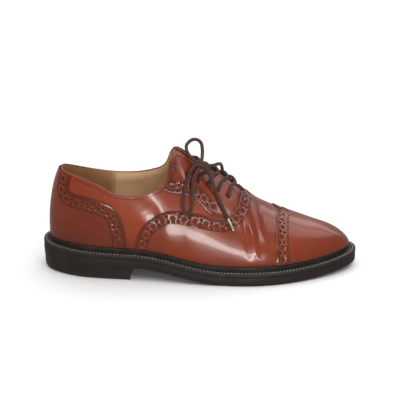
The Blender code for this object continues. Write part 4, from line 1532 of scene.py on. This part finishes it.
@dataclass
class Uppers:
    """The leather upper: its shell, lining, collar edge and panels."""

    wall: float = 0.0022
    columns: int = 272
    rows: int = 56
    panel_level: float = 0.0015
    vamp_level: float = 0.0018
    cap_level: float = 0.0025
    weld: float = 0.00002
    # Painted shade at the foot of the quarters.
    foot_shade: tuple = (0.034, 1.3, 0.6)  # Reach, power and most
    roll_turns: int = 9
    roll_shade: float = 0.35
    # Painted shade low in the lining.
    lining_shade: tuple = (0.03, 0.8)  # Reach and most
    heel_lining: tuple = (3.7, 0.1, 0.75)  # Rib where it ends, blend and shade
    lining_seam_rib: float = 3.72
    collar_seam: float = 0.0024
    collar_seam_ribs: tuple = (2.1, 6.6)
    eyelet: float = 0.0016
    pinhole: float = 0.0006
    slant_apart: float = 0.0016
    closure_seam: float = 0.0022

    def shell(self) -> bpy.types.Object:
        """The quarters and the vamp's ground, with the rolled edge at the collar.

        Returns:
            The piece.
        """
        places = np.arange(self.columns) * ROUND / self.columns
        shares = np.linspace(0, 1, self.rows) ** 0.9
        grid_place, height = self.heights(places, shares)
        outer = LAST.off(grid_place, height, 0.0)
        # Painted shade: the leather darkens towards the welt.
        reach, power, shade = self.foot_shade
        foot = np.clip(1 - (outer[..., 2] - LAST.welt_top(outer[..., 0])) / reach, 0, 1)
        work = Work("upper_quarters")
        closed = np.concatenate([outer, outer[:1]])
        value = np.concatenate([foot, foot[:1]]) ** power * shade
        work.grid(closed, flip=True, value=value.ravel())
        self.roll(work)
        made = work.piece([QUARTER_CALF], weld=self.weld)
        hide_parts("upper")
        return made

    def heights(self, places: Array, shares: Array) -> tuple[Array, Array]:
        """Grids of places and heights from the foot to the topline.

        Args:
            places: Places along the ribs' loop.
            shares: Shares of the topline's height.

        Returns:
            The two grids.
        """
        tops = LAST.tops(places)
        return np.repeat(places[:, None], len(shares), axis=1), shares[None] * tops[:, None]

    def roll(self, work: Work) -> None:
        """The folded edge between the leather and the lining, along collar and closure.

        Args:
            work: The piece that the edge joins.
        """
        places = np.linspace(-CLOSURE_END, CLOSURE_END, 260)
        tops = LAST.tops(places)
        normal = LAST.skin_normal(places, tops - 1e-4)
        rise = unit(LAST.point(places, tops) - LAST.point(places, tops - 0.01))
        middle = LAST.off(places, tops, -self.wall / 2)
        rings = []
        for turn in np.linspace(0, np.pi, self.roll_turns):
            reach = self.wall / 2 * (np.cos(turn) * normal + 0.8 * np.sin(turn) * rise)
            rings.append(middle + reach)
        work.grid(np.stack(rings, axis=1), flip=True, value=self.roll_shade)

    def lining(self) -> bpy.types.Object:
        """The tan lining inside the shoe, darker at the heel, with painted shade towards its foot.

        Returns:
            The piece.
        """
        places = np.arange(self.columns) * ROUND / self.columns
        shares = np.linspace(0, 1, self.rows)
        grid_place, height = self.heights(places, shares)
        inner = LAST.off(grid_place, height, -self.wall)
        ribs, _ = LAST.folded(grid_place)
        seam, blend, shade = self.heel_lining
        deep = np.clip((seam - ribs) / blend, 0, 1) * shade
        # Painted shade deep in the shoe, near the welt.
        reach, shade = self.lining_shade
        low = np.clip(1 - (inner[..., 2] - LAST.welt_top(inner[..., 0])) / reach, 0, 1) * shade
        value = np.maximum(deep, low)
        value = np.concatenate([value, value[:1]])
        work = Work("lining")
        work.grid(np.concatenate([inner, inner[:1]]), value=value.ravel())
        made = work.piece([LINING_HIDE], weld=self.weld)
        return made

    def lining_seams(self, seams: Work) -> None:
        """The row of stitches where the heel's lining meets the quarters' lining.

        Args:
            seams: Gathers the stitches.
        """
        rows = straight((self.lining_seam_rib, 0.80), (self.lining_seam_rib, 0.25))
        for side in (LATERAL, MEDIAL):
            place, height = LAST.on_side(side, rows)
            points = LAST.off(place, height, -self.wall - 0.0001)
            Seam(thickness=0.0005).sew(seams, points, -LAST.skin_normal(place, height))

    def collar_seams(self, seams: Work) -> None:
        """The row of stitches below the collar's edge.

        Args:
            seams: Gathers the stitches.
        """
        ribs = np.linspace(*self.collar_seam_ribs, 120)
        line = np.stack([ribs, LAST.topline(ribs, LATERAL)], axis=1)
        row = LAST.inward(line, self.collar_seam, -1.0)
        for side in (LATERAL, MEDIAL):
            place, height = LAST.on_side(side, row)
            points = LAST.off(place, height, THREAD_RISE)
            Seam().sew(seams, points, LAST.skin_normal(place, height))

    def counter(self) -> Panel:
        """The heel counter.

        Returns:
            The panel.
        """
        front = raised(COUNTER_EDGE)
        top = straight(tuple(front[-1]), (0.0, front[-1, 1]))
        foot = foot_row(0.0, front[0, 0])
        back = straight(tuple(top[-1]), tuple(foot[0]))
        outline = [(foot, Edge.PLAIN), (front, Edge.PINKED), (top, Edge.PLAIN), (back, Edge.SEAM)]
        band = Brogueing(middle=0.0070, far_rows=(0.0114, 0.0125), start=0.0060)
        # Painted shade reaches higher on the heel counter.
        return Panel("heel_counter_leather", "heel_counter", outline, self.panel_level,
                     bands=[(front, 1.0, band)], shade_height=0.050, shade=0.60)

    def vamp(self) -> Panel:
        """The winged vamp, which runs a little under the toe cap.

        Returns:
            The panel.
        """
        wing = raised(WING_EDGE)
        cap = raised(CAP_EDGE) + np.array([0.10, 0.0])
        cap[-1, 1] = 1.0
        crest = straight(tuple(cap[-1]), tuple(wing[-1]))
        foot = foot_row(wing[0, 0], cap[0, 0])
        wing = wing[::-1]
        outline = [(foot, Edge.PLAIN), (cap, Edge.PLAIN), (crest, Edge.SEAM), (wing, Edge.PINKED)]
        return Panel("vamp_leather", "vamp", outline, self.vamp_level,
                     bands=[(wing, 1.0, Brogueing())])

    def toe_cap(self) -> Panel:
        """The plain toe cap with its punched band.

        Returns:
            The panel.
        """
        rear = raised(CAP_EDGE)
        foot = foot_row(rear[0, 0], TOE_RIB)
        toe = straight(tuple(foot[-1]), (TOE_RIB, 1.0))
        crest = straight((TOE_RIB, 1.0), tuple(rear[-1]))
        rear = rear[::-1]
        outline = [(foot, Edge.PLAIN), (toe, Edge.SEAM), (crest, Edge.SEAM), (rear, Edge.PINKED)]
        band = Brogueing(middle=0.0062, far_rows=(0.0108, 0.0120), start=0.0051)
        # Painted shade reaches less high on the toe cap.
        return Panel("toe_cap_leather", "toe_cap", outline, self.cap_level,
                     bands=[(rear, 1.0, band)], shade_height=0.024)

    def facing(self, side: float) -> Panel:
        """One of the facings, with its row of eyelets.

        Args:
            side: -1 for the lateral side, 1 for the medial one.

        Returns:
            The panel.
        """
        low = LAST.along(FACING_LOW, 0.001)
        high = LAST.along(FACING_HIGH, 0.001)
        front = straight(tuple(low[-1]), tuple(high[-1]))
        rear = straight(tuple(high[0]), tuple(low[0]))
        high = high[::-1]
        outline = [(low, Edge.PINKED), (front, Edge.PLAIN), (high, Edge.PLAIN), (rear, Edge.PLAIN)]
        name = "facing_lateral" if side < 0 else "facing_medial"
        band = Brogueing(middle=0.0060, far_rows=(0.0100, 0.0111))
        edge = LAST.along(FACING_LOW[:7], 0.001)
        slant = LAST.along(FACING_SLANT, 0.001)
        holes = [(np.array(spot), self.eyelet) for spot in EYELETS]
        holes += [(np.array(spot), self.pinhole) for spot in PINHOLES]
        stitched = [slant, LAST.inward(slant, self.slant_apart, 1.0)]
        stitched.append(LAST.inward(high, self.closure_seam, 1.0))
        return Panel(name + "_leather", name, outline, self.panel_level, bands=[(edge, 1.0, band)],
                     extra_holes=holes, extra_rows=stitched, sides=(side,))

    def dress(self) -> None:
        """Make every leather piece of the upper."""
        floors = Work("punched_floors_and_shadow")
        seams = Work("upper_stitches")
        self.shell()
        self.lining()
        self.collar_seams(seams)
        self.lining_seams(seams)
        panels = [self.counter(), self.vamp(), self.toe_cap()]
        panels += [self.facing(LATERAL), self.facing(MEDIAL)]
        for panel in panels:
            panel.build(floors, seams)
        floors.piece([PUNCHED_FLOOR_AND_SHADOW])
        seams.piece([UPPER_THREAD])


@dataclass
class Tongue:
    """The tongue, its free end rounded and standing a little past the facings."""

    depth: float = 0.0039
    thickness: float = 0.0020
    reach: float = 0.003
    tip: float = 0.0012
    middle: float = 0.96
    rows: int = 70
    columns: int = 30
    tip_rows: int = 10

    def dress(self) -> bpy.types.Object:
        """Make the tongue.

        Returns:
            The piece.
        """
        rows = np.array(TONGUE_ROWS)
        fine = np.linspace(0, len(rows) - 1, self.rows)
        ribs, edges = (eased(np.arange(len(rows)), column, fine) for column in rows.T)
        lines = []
        for rib, edge in zip(ribs, edges):
            heights = np.linspace(edge, self.middle, 4)
            lateral = self.under(np.full(4, rib), heights)
            medial = self.under(np.full(4, ROUND - rib), heights)
            crest = LAST.crest(rib) - self.depth * LAST.crest_normal(rib)
            lines.append(route(np.vstack([lateral, crest[None], medial[::-1]]), 0.0012))
        shares = np.linspace(0, 1, self.columns)
        grid = np.stack([self.spread(line, shares) for line in lines])
        run = LAST.crest_run(TIP_RIB + 1.0)
        across = np.linspace(-1, 1, self.columns)
        ahead = []
        for share in np.linspace(1, 0, self.tip_rows, endpoint=False):
            reach = share * (self.reach + self.tip * (1 - across**2) ** 0.7)
            ahead.append(grid[0] - reach[:, None] * run)
        work = Work("tongue_leather")
        work.grid(np.concatenate([np.stack(ahead), grid]))
        made = work.piece([TONGUE_CALF])
        wall = made.modifiers.new("Wall", "SOLIDIFY")
        wall.thickness = self.thickness
        wall.offset = -1.0
        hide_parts("tongue")
        return made

    def under(self, place: Array, height: Array) -> Array:
        """Points on the tongue's outer face."""
        return LAST.point(place, height) - self.depth * LAST.normal(place, height)

    def spread(self, line: Array, shares: Array) -> Array:
        """A row's points at shares of its length."""
        lengths = lengths_along(line)
        return read_along(line, lengths, shares * lengths[-1])


@dataclass(frozen=True)
class Level:
    """One ring of a sole piece: its place, inset and wear, and how far round it runs.

    Its height is a share of the height of the sole's underside, and a lift in metres. Where it
    is worn, its inset grows to the back of the heel.
    """

    share: float
    lift: float
    inset: float
    wear: float
    end: float = 1.0
    worn: float = 0.0


@dataclass
class Bottom:
    """The sole: heel, outsole, welt and welt stitches."""

    steps: int = 150
    welt_chamfer: float = 0.0009
    ridge_height: float = 0.0045
    ridge_width: float = 0.0015
    heel_taper: float = 0.0010
    heel_wear: float = 0.0022
    wear_reach: float = 0.10
    worn_edge: float = 0.0005
    breast_flare: float = 0.0042
    edge_round: float = 0.0005
    stitch_inset: float = 0.0024
    groove: float = 0.0006
    groove_depth: float = 0.0003
    slab_sharp: float = 0.9
    welt_sharp: float = 1.0

    def share_at(self, along: float) -> float:
        """Share of the sole's side at a distance from the back."""
        shares = np.linspace(0, 1, 800)
        return float(np.interp(along, LAST.sole.at(shares)[:, 0] + LAST.heel_rest, shares))

    def slab(self, name: str, levels: list[Level], finish: Rubber, node: str) -> bpy.types.Object:
        """A solid with the sole's outline.

        Args:
            name: The piece's name.
            levels: The solid's rings from its underside up.
            finish: The rubber's finish.
            node: The solid that it stands for.

        Returns:
            The piece.
        """
        work = Work(name)
        steps = np.linspace(0, 1, self.steps)
        rings, wears = [], []
        for level in levels:
            shares = level.end * steps
            worn = self.worn_edge + self.heel_wear * np.exp(-((shares / self.wear_reach) ** 2))
            inset = level.inset + level.worn * worn
            lateral = LAST.inset(shares, inset)
            medial = LAST.inset(2.0 - shares, inset)
            home = medial[1:][::-1] if level.end < 1 else medial[1:-1][::-1]
            points = np.vstack([lateral, home])
            height = level.share * LAST.sole_bottom(points[:, 0]) + level.lift
            rings.append(np.column_stack([points, height]))
            wears.append(np.full(len(points), level.wear))
        around = len(rings[0])
        faces = []
        for ring in range(len(rings) - 1):
            for at in range(around):
                beside = (at + 1) % around
                faces.append((ring * around + at, ring * around + beside,
                              (ring + 1) * around + beside, (ring + 1) * around + at))
        work.add(np.vstack(rings), faces, value=np.concatenate(wears))
        for ring, up in ((0, False), (len(rings) - 1, True)):
            for at in range(self.steps - 1):
                corners = [at, at + 1, (around - at - 1) % around, (around - at) % around]
                corners = [ring * around + corner for corner in dict.fromkeys(corners)]
                if len(corners) > 2:
                    work.faces.append(tuple(corners if up else corners[::-1]))
                    work.slots.append(0)
        made = work.piece([finish], paint="wear")
        made.data.set_sharp_from_angle(angle=self.slab_sharp)
        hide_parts(node)
        return made

    def heel(self) -> bpy.types.Object:
        """The heel block, its back edge worn round.

        Returns:
            The piece.
        """
        end = self.share_at(LAST.heel_length)
        flare = self.share_at(LAST.heel_length + self.breast_flare)
        middle = self.share_at(LAST.heel_length + self.breast_flare / 3)
        taper = self.heel_taper
        levels = [
            Level(0.0, 0.0, taper, 0.9, end, worn=1.0),
            Level(0.0, 0.0009, taper, 0.8, end, worn=0.35),
            Level(0.0, 0.0024, taper, 0.35, end),
            Level(0.35, 0.0, 0.7 * taper, 0.1, end),
            Level(0.60, 0.0, 0.5 * taper, 0.05, middle),
            Level(0.85, 0.0, 0.2 * taper, 0.05, (middle + flare) / 2),
            Level(1.0, -0.00002, 0.0, 0.1, flare),
        ]
        return self.slab("heel_block", levels, HEEL_RUBBER, "heel")

    def outsole(self) -> bpy.types.Object:
        """The outsole, its edges a little rounded.

        Returns:
            The piece.
        """
        thick, edge = LAST.outsole_thickness, self.edge_round
        levels = [
            Level(1.0, 0.0, edge, 0.8),
            Level(1.0, 0.3 * edge, 0.3 * edge, 0.7),
            Level(1.0, edge, 0.0, 0.3),
            Level(1.0, 0.5 * thick, -0.0002, 0.1),
            Level(1.0, thick - 0.0004, 0.0, 0.15),
            Level(1.0, thick, 0.0001, 0.2),
        ]
        return self.slab("outsole_rubber", levels, SOLE_RUBBER, "outsole")

    def welt(self) -> bpy.types.Object:
        """The welt with its rounded ridge against the upper.

        Returns:
            The piece.
        """
        places = np.arange(0, 2 * self.steps) * ROUND / (2 * self.steps)
        shares = LAST.ribs.at(places)[..., 0] + places / TOE_RIB
        thick = LAST.welt_thickness
        chamfer = self.welt_chamfer
        flat = LAST.welt_show - LAST.fit_gap - self.ridge_width
        # Inset from the sole's edge, height over the outsole and wear of each row
        section = [
            (LAST.welt_show + 0.002, 0.0002, 0.0), (0.0002, -0.0002, 0.1), (0.0, 0.0001, 0.1),
            (-0.0002, thick * 0.5, 0.1), (0.0, thick - chamfer, 0.2),
            (0.3 * chamfer, thick - 0.3 * chamfer, 0.75), (chamfer, thick, 0.6),
            (self.stitch_inset - self.groove, thick, 0.25),
            (self.stitch_inset, thick - self.groove_depth, 0.1),
            (self.stitch_inset + self.groove, thick, 0.2),
            (flat - 0.0006, thick, 0.1), (flat, thick + 0.0003, 0.0),
        ]
        rings, wears = [], []
        for inset, up, wear in section:
            points = LAST.inset(shares, inset)
            height = LAST.outsole_top(points[:, 0]) + LAST.fit_gap + up
            rings.append(np.column_stack([points, height]))
            wears.append(wear)
        top = LAST.climb(places, self.ridge_height)
        gap, ridge = LAST.fit_gap, self.ridge_width
        # Share of the ridge's height, reach out of the upper and wear of each row
        rolled = [
            (0.80, gap + ridge, 0.0), (0.95, gap + 0.8 * ridge, 0.2), (1.0, gap + 0.5 * ridge, 0.3),
            (0.95, gap + 0.15 * ridge, 0.1), (0.6, 0.5 * gap, 0.0), (0.0, 0.5 * gap, 0.0),
        ]
        for share, reach, wear in rolled:
            rings.append(LAST.point(places, top * share) + reach * LAST.normal(places, top * share))
            wears.append(wear)
        work = Work("welt_strip")
        grid = np.stack(rings + rings[:1])
        values = np.repeat(np.array(wears + wears[:1])[:, None], len(places), axis=1)
        work.grid(grid, closed=True, value=values.ravel())
        made = work.piece([WELT_WAX], paint="wear", weld=0.000001)
        made.data.set_sharp_from_angle(angle=self.welt_sharp)
        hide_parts("welt")
        return made

    def stitches(self) -> bpy.types.Object:
        """The light stitches in the welt's groove.

        Returns:
            The piece.
        """
        shares = np.linspace(0.0, 2.0, 1400)
        points = LAST.inset(shares, self.stitch_inset)
        line = np.column_stack([points, LAST.welt_top(points[:, 0]) - 0.00005])
        work = Work("welt_stitches")
        seam = Seam(length=0.0021, gap=0.0012, thickness=0.0009)
        seam.sew(work, line, np.tile(UP, (len(line), 1)))
        return work.piece([WELT_THREAD])

    def dress(self) -> None:
        """Make the sole's pieces and finish the insole."""
        self.heel()
        self.outsole()
        self.welt()
        self.stitches()
        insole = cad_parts["insole"]
        insole.data.materials.clear()
        insole.data.materials.append(finished(SOCK_HIDE))


@dataclass
class Laces:
    """The lace: bars through the eyelets, the knot, the bow's loops and the two ends."""

    diameter: float = 0.0034
    sides: int = 18
    pace: float = 0.00042
    cell: float = 0.00155
    relief: float = 0.055
    strands: int = 6
    bar_lean: float = 0.75
    aglet_length: float = 0.014
    aglet_radius: float = 0.0015
    bar_clearance: float = 0.0024
    bar_depth: float = 0.0012
    lip_drop: float = 0.0013
    knot_half: tuple = (0.0052, 0.0026)  # Half its width and half its height
    knot_pitch: float = 0.0015
    knot_reach: float = 0.0078
    aglet_sides: int = 20
    aglet_overlap: float = 0.0012

    def cord(self, work: Work, path: Array) -> None:
        """A braided cord along a path.

        Args:
            work: The piece that the cord joins.
            path: The cord's line.
        """
        radius = self.diameter / 2
        line = even_steps(path, self.pace)
        run = unit(np.gradient(line, axis=0))
        side = unit(np.cross(run[0], UP + np.array([0.01, 0.02, 0.0])))
        rings = []
        turns = np.arange(self.sides) * 2 * np.pi / self.sides
        for at, (point, way) in enumerate(zip(line, run)):
            side = unit(side - (side @ way) * way)
            other = np.cross(way, side)
            wave = np.cos(self.strands * turns) + np.cos(2 * np.pi * at * self.pace / self.cell)
            girth = radius * (1 - self.relief + self.relief * 0.5 * wave)
            rings.append(point + girth[:, None] * (np.cos(turns)[:, None] * side
                                                   + np.sin(turns)[:, None] * other))
        work.grid(np.stack(rings), closed=True, flip=True)
        for end, up in ((0, False), (len(rings) - 1, True)):
            start = work.count - (len(rings) - end) * self.sides
            face = tuple(range(start, start + self.sides))
            work.faces.append(face if up else face[::-1])
            work.slots.append(0)

    def bars(self) -> None:
        """The bars, each going down through its two eyelets."""
        level = Uppers.panel_level + self.diameter / 2
        for number, (rib, height) in enumerate(EYELETS, 1):
            shares = np.linspace(0.10, 0.8, 4)
            ribs = rib + self.bar_lean * shares
            heights = height + (1 - height) * shares
            top = rib + self.bar_lean
            over = LAST.crest(top) + self.bar_clearance * LAST.crest_normal(top)
            halves = []
            for side in (LATERAL, MEDIAL):
                place, high = LAST.on_side(side, np.stack([ribs, heights], axis=1))
                rise = LAST.off(place, high, level)
                mouth, mouth_high = LAST.on_side(side, np.array([[rib, height]]))
                down = LAST.off(mouth, mouth_high, -self.bar_depth)
                lip = LAST.off(mouth, mouth_high, level - self.lip_drop)
                halves.append(np.vstack([down, lip, rise]))
            path = route(np.vstack([halves[0], over[None], halves[1][::-1]]), 0.0008)
            work = Work("lace_bar_%d_cotton" % number)
            self.cord(work, path)
            made = work.piece([LACE_COTTON])
            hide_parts("lace_bar_%d" % number)

    def knot(self) -> bpy.types.Object:
        """The knot: one wrap over the strands that cross in it.

        Returns:
            The piece.
        """
        centre = np.array(KNOT_CENTRE) / 1000
        up = LAST.normal(np.array(9.13), np.array(0.9))
        along = unit(np.cross(np.cross(up, [1.0, 0.0, 0.0]), up))
        across = np.cross(up, along)
        work = Work("lace_knot_cotton")
        turns = np.linspace(-0.1, 1.6, 80) * 2 * np.pi
        wide, high = self.knot_half
        wrap = (centre + wide * np.cos(turns)[:, None] * along
                + high * np.sin(turns)[:, None] * up
                + (self.knot_pitch * (turns - turns.mean()) / np.pi)[:, None] * across)
        self.cord(work, wrap)
        loops = np.array(LOOP_LATERAL) / 1000, np.array(LOOP_MEDIAL) / 1000
        ends = np.array(END_LATERAL) / 1000, np.array(END_MEDIAL) / 1000
        strands = (
            (loops[0][1], loops[0][0], centre + 0.0006 * up, loops[1][0], loops[1][1]),
            (loops[0][-2], loops[0][-1], centre - 0.0008 * up, ends[1][0], ends[1][1]),
            (loops[1][-2], loops[1][-1], centre + 0.0004 * across, ends[0][0], ends[0][1]),
        )
        for strand in strands:
            path = route(np.array(strand), 0.0006)
            near = np.linalg.norm(path - centre, axis=1) < self.knot_reach
            self.cord(work, path[near])
        made = work.piece([LACE_COTTON])
        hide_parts("lace_knot")
        return made

    def loop(self, side: str, points: tuple, others: list) -> bpy.types.Object:
        """One of the bow's loops.

        Args:
            side: The side's name.
            points: The loop's points in millimetres.
            others: Not used.

        Returns:
            The piece.
        """
        path = route(np.array(points) / 1000, 0.0015)
        work = Work("lace_loop_%s_cotton" % side)
        self.cord(work, path)
        made = work.piece([LACE_COTTON])
        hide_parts("lace_loop_" + side)
        return made

    def end(self, side: str, points: tuple) -> bpy.types.Object:
        """One of the lace's free ends with its aglet.

        Args:
            side: The side's name.
            points: The end's points in millimetres.

        Returns:
            The piece.
        """
        path = route(np.array(points) / 1000, 0.001)
        left = whole_length(path) - lengths_along(path)
        body = path[left > self.aglet_length - self.aglet_overlap]
        work = Work("lace_end_%s_cotton" % side)
        self.cord(work, body)
        made = work.piece([LACE_COTTON])
        start = path[np.argmin(abs(left - self.aglet_length))]
        aglet = self.aglet(side, start, path[-1])
        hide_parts("lace_end_" + side)
        return made

    def aglet(self, side: str, start: Array, tip: Array) -> bpy.types.Object:
        """A rolled metal sheath with two pressed rings.

        Args:
            side: The side's name.
            start: Where it starts on the lace.
            tip: Where it ends.

        Returns:
            The piece.
        """
        profile = (
            (0.0, 0.90), (0.01, 1.0), (0.13, 1.0), (0.15, 0.90), (0.17, 1.0), (0.23, 1.0),
            (0.25, 0.90), (0.27, 1.0), (0.86, 0.96), (0.94, 0.88), (0.98, 0.70), (1.0, 0.35),
        )
        way = unit(tip - start)
        first = unit(np.cross(way, UP))
        second = np.cross(way, first)
        around = self.aglet_sides
        turns = np.arange(around) * 2 * np.pi / around
        circle = np.cos(turns)[:, None] * first + np.sin(turns)[:, None] * second
        rings = [start + share * (tip - start) + self.aglet_radius * girth * circle
                 for share, girth in profile]
        work = Work("aglet_%s_brass" % side)
        work.grid(np.stack(rings), closed=True, flip=True)
        last = range(work.count - around, work.count)
        work.faces.extend([tuple(range(around)), tuple(last)[::-1]])
        work.slots.extend([0, 0])
        made = work.piece([AGLET_BRASS])
        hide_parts("aglet_" + side)
        return made

    def dress(self) -> None:
        """Make every piece of the lace."""
        self.loop("lateral", LOOP_LATERAL, [self.knot()])
        self.loop("medial", LOOP_MEDIAL, [])
        self.end("lateral", END_LATERAL)
        self.end("medial", END_MEDIAL)
        self.bars()


@dataclass
class Studio:
    """The camera, the pale floor and the soft lights."""

    elevation: float = 21.0
    roll: float = 0.5
    distance: float = 1.300
    focal: float = 122.6
    target: tuple = (0.1078, 0.0, 0.0658)
    floor_drop: float = 0.0002
    floor_half: float = 6.0
    room: float = 0.36

    def camera(self) -> None:
        """The camera at the photograph's angle."""
        tilt, turn = math.radians(self.elevation), math.radians(self.roll)
        back = Vector((0.0, -math.cos(tilt), math.sin(tilt)))
        right = Vector((1.0, 0.0, 0.0))
        up = back.cross(right)
        across = math.cos(turn) * right + math.sin(turn) * up
        rise = -math.sin(turn) * right + math.cos(turn) * up
        data = bpy.data.cameras.new("camera")
        data.lens = self.focal
        data.sensor_width = 36.0
        made = bpy.data.objects.new("camera", data)
        bpy.context.scene.collection.objects.link(made)
        axes = Matrix((across, rise, back)).transposed().to_4x4()
        made.matrix_world = Matrix.Translation(Vector(self.target) + self.distance * back) @ axes
        bpy.context.scene.camera = made

    def floor(self) -> None:
        """A wide pale floor."""
        half = self.floor_half
        mesh = bpy.data.meshes.new("floor")
        corners = [(-half, -half), (half, -half), (half, half), (-half, half)]
        mesh.from_pydata([(x, y, -self.floor_drop) for x, y in corners], [], [(0, 1, 2, 3)])
        shader = Shader("pale floor")
        dim, bright = (0.86, 0.86, 0.86, 1.0), (0.90, 0.90, 0.90, 1.0)
        tone = shader.mixed(shader.noise(2.0, 2.0), dim, bright)
        mesh.materials.append(shader.feed(Base_Color=tone, Roughness=0.75))
        made = bpy.data.objects.new("floor", mesh)
        bpy.context.scene.collection.objects.link(made)
        made.visible_glossy = False

    def light(self, name: str, place: tuple, size: tuple, power: float, tint: tuple,
              lean: float = 0.0) -> None:
        """One soft rectangular light aimed at the shoe, its toe end raised by a lean in degrees.

        Args:
            name: The light's name.
            place: Where it stands.
            size: Its two sides.
            power: Its power in watts.
            tint: Its colour.
            lean: The lean.
        """
        data = bpy.data.lights.new(name, "AREA")
        data.shape = "RECTANGLE"
        data.size, data.size_y = size
        data.energy = power
        data.color = tint
        made = bpy.data.objects.new(name, data)
        made.location = place
        made.visible_camera = False
        aim = Vector(self.target) - Vector(place)
        turn = Quaternion((0.0, 0.0, 1.0), math.radians(lean))
        made.rotation_euler = (aim.to_track_quat("-Z", "Y") @ turn).to_euler()
        bpy.context.scene.collection.objects.link(made)

    def lights(self) -> None:
        """Soft light from above and in front, and a pale room."""
        bpy.context.scene.view_settings.view_transform = "Standard"
        world = bpy.data.worlds.new("room")
        world.use_nodes = True
        background = world.node_tree.nodes["Background"]
        background.inputs["Color"].default_value = (1.0, 1.0, 1.0, 1.0)
        background.inputs["Strength"].default_value = self.room
        bpy.context.scene.world = world
        self.light("low strip", (0.40, -2.60, 0.29), (1.3, 0.27), 27.0, (1.0, 0.97, 0.96), 9.0)
        self.light("window", (0.62, -1.00, 0.98), (0.40, 0.30), 2.6, (1.0, 0.97, 0.96))
        self.light("back panel", (1.40, 2.40, 1.50), (1.6, 1.0), 7.5, (1.0, 0.98, 0.97))
        self.light("ceiling", (0.20, 0.30, 2.60), (4.2, 4.2), 100.0, (1.0, 1.0, 1.0))


def main() -> None:
    """Build the studio and dress the shoe."""
    logging.basicConfig(level=logging.INFO, format="%(name)s: %(message)s")
    studio = Studio()
    studio.camera()
    for part in (Laces(), Uppers(), Tongue(), Bottom()):
        part.dress()
        LOG.info("%s: done", type(part).__name__.lower())
    studio.floor()
    studio.lights()


if __name__ == "__main__":
    main()
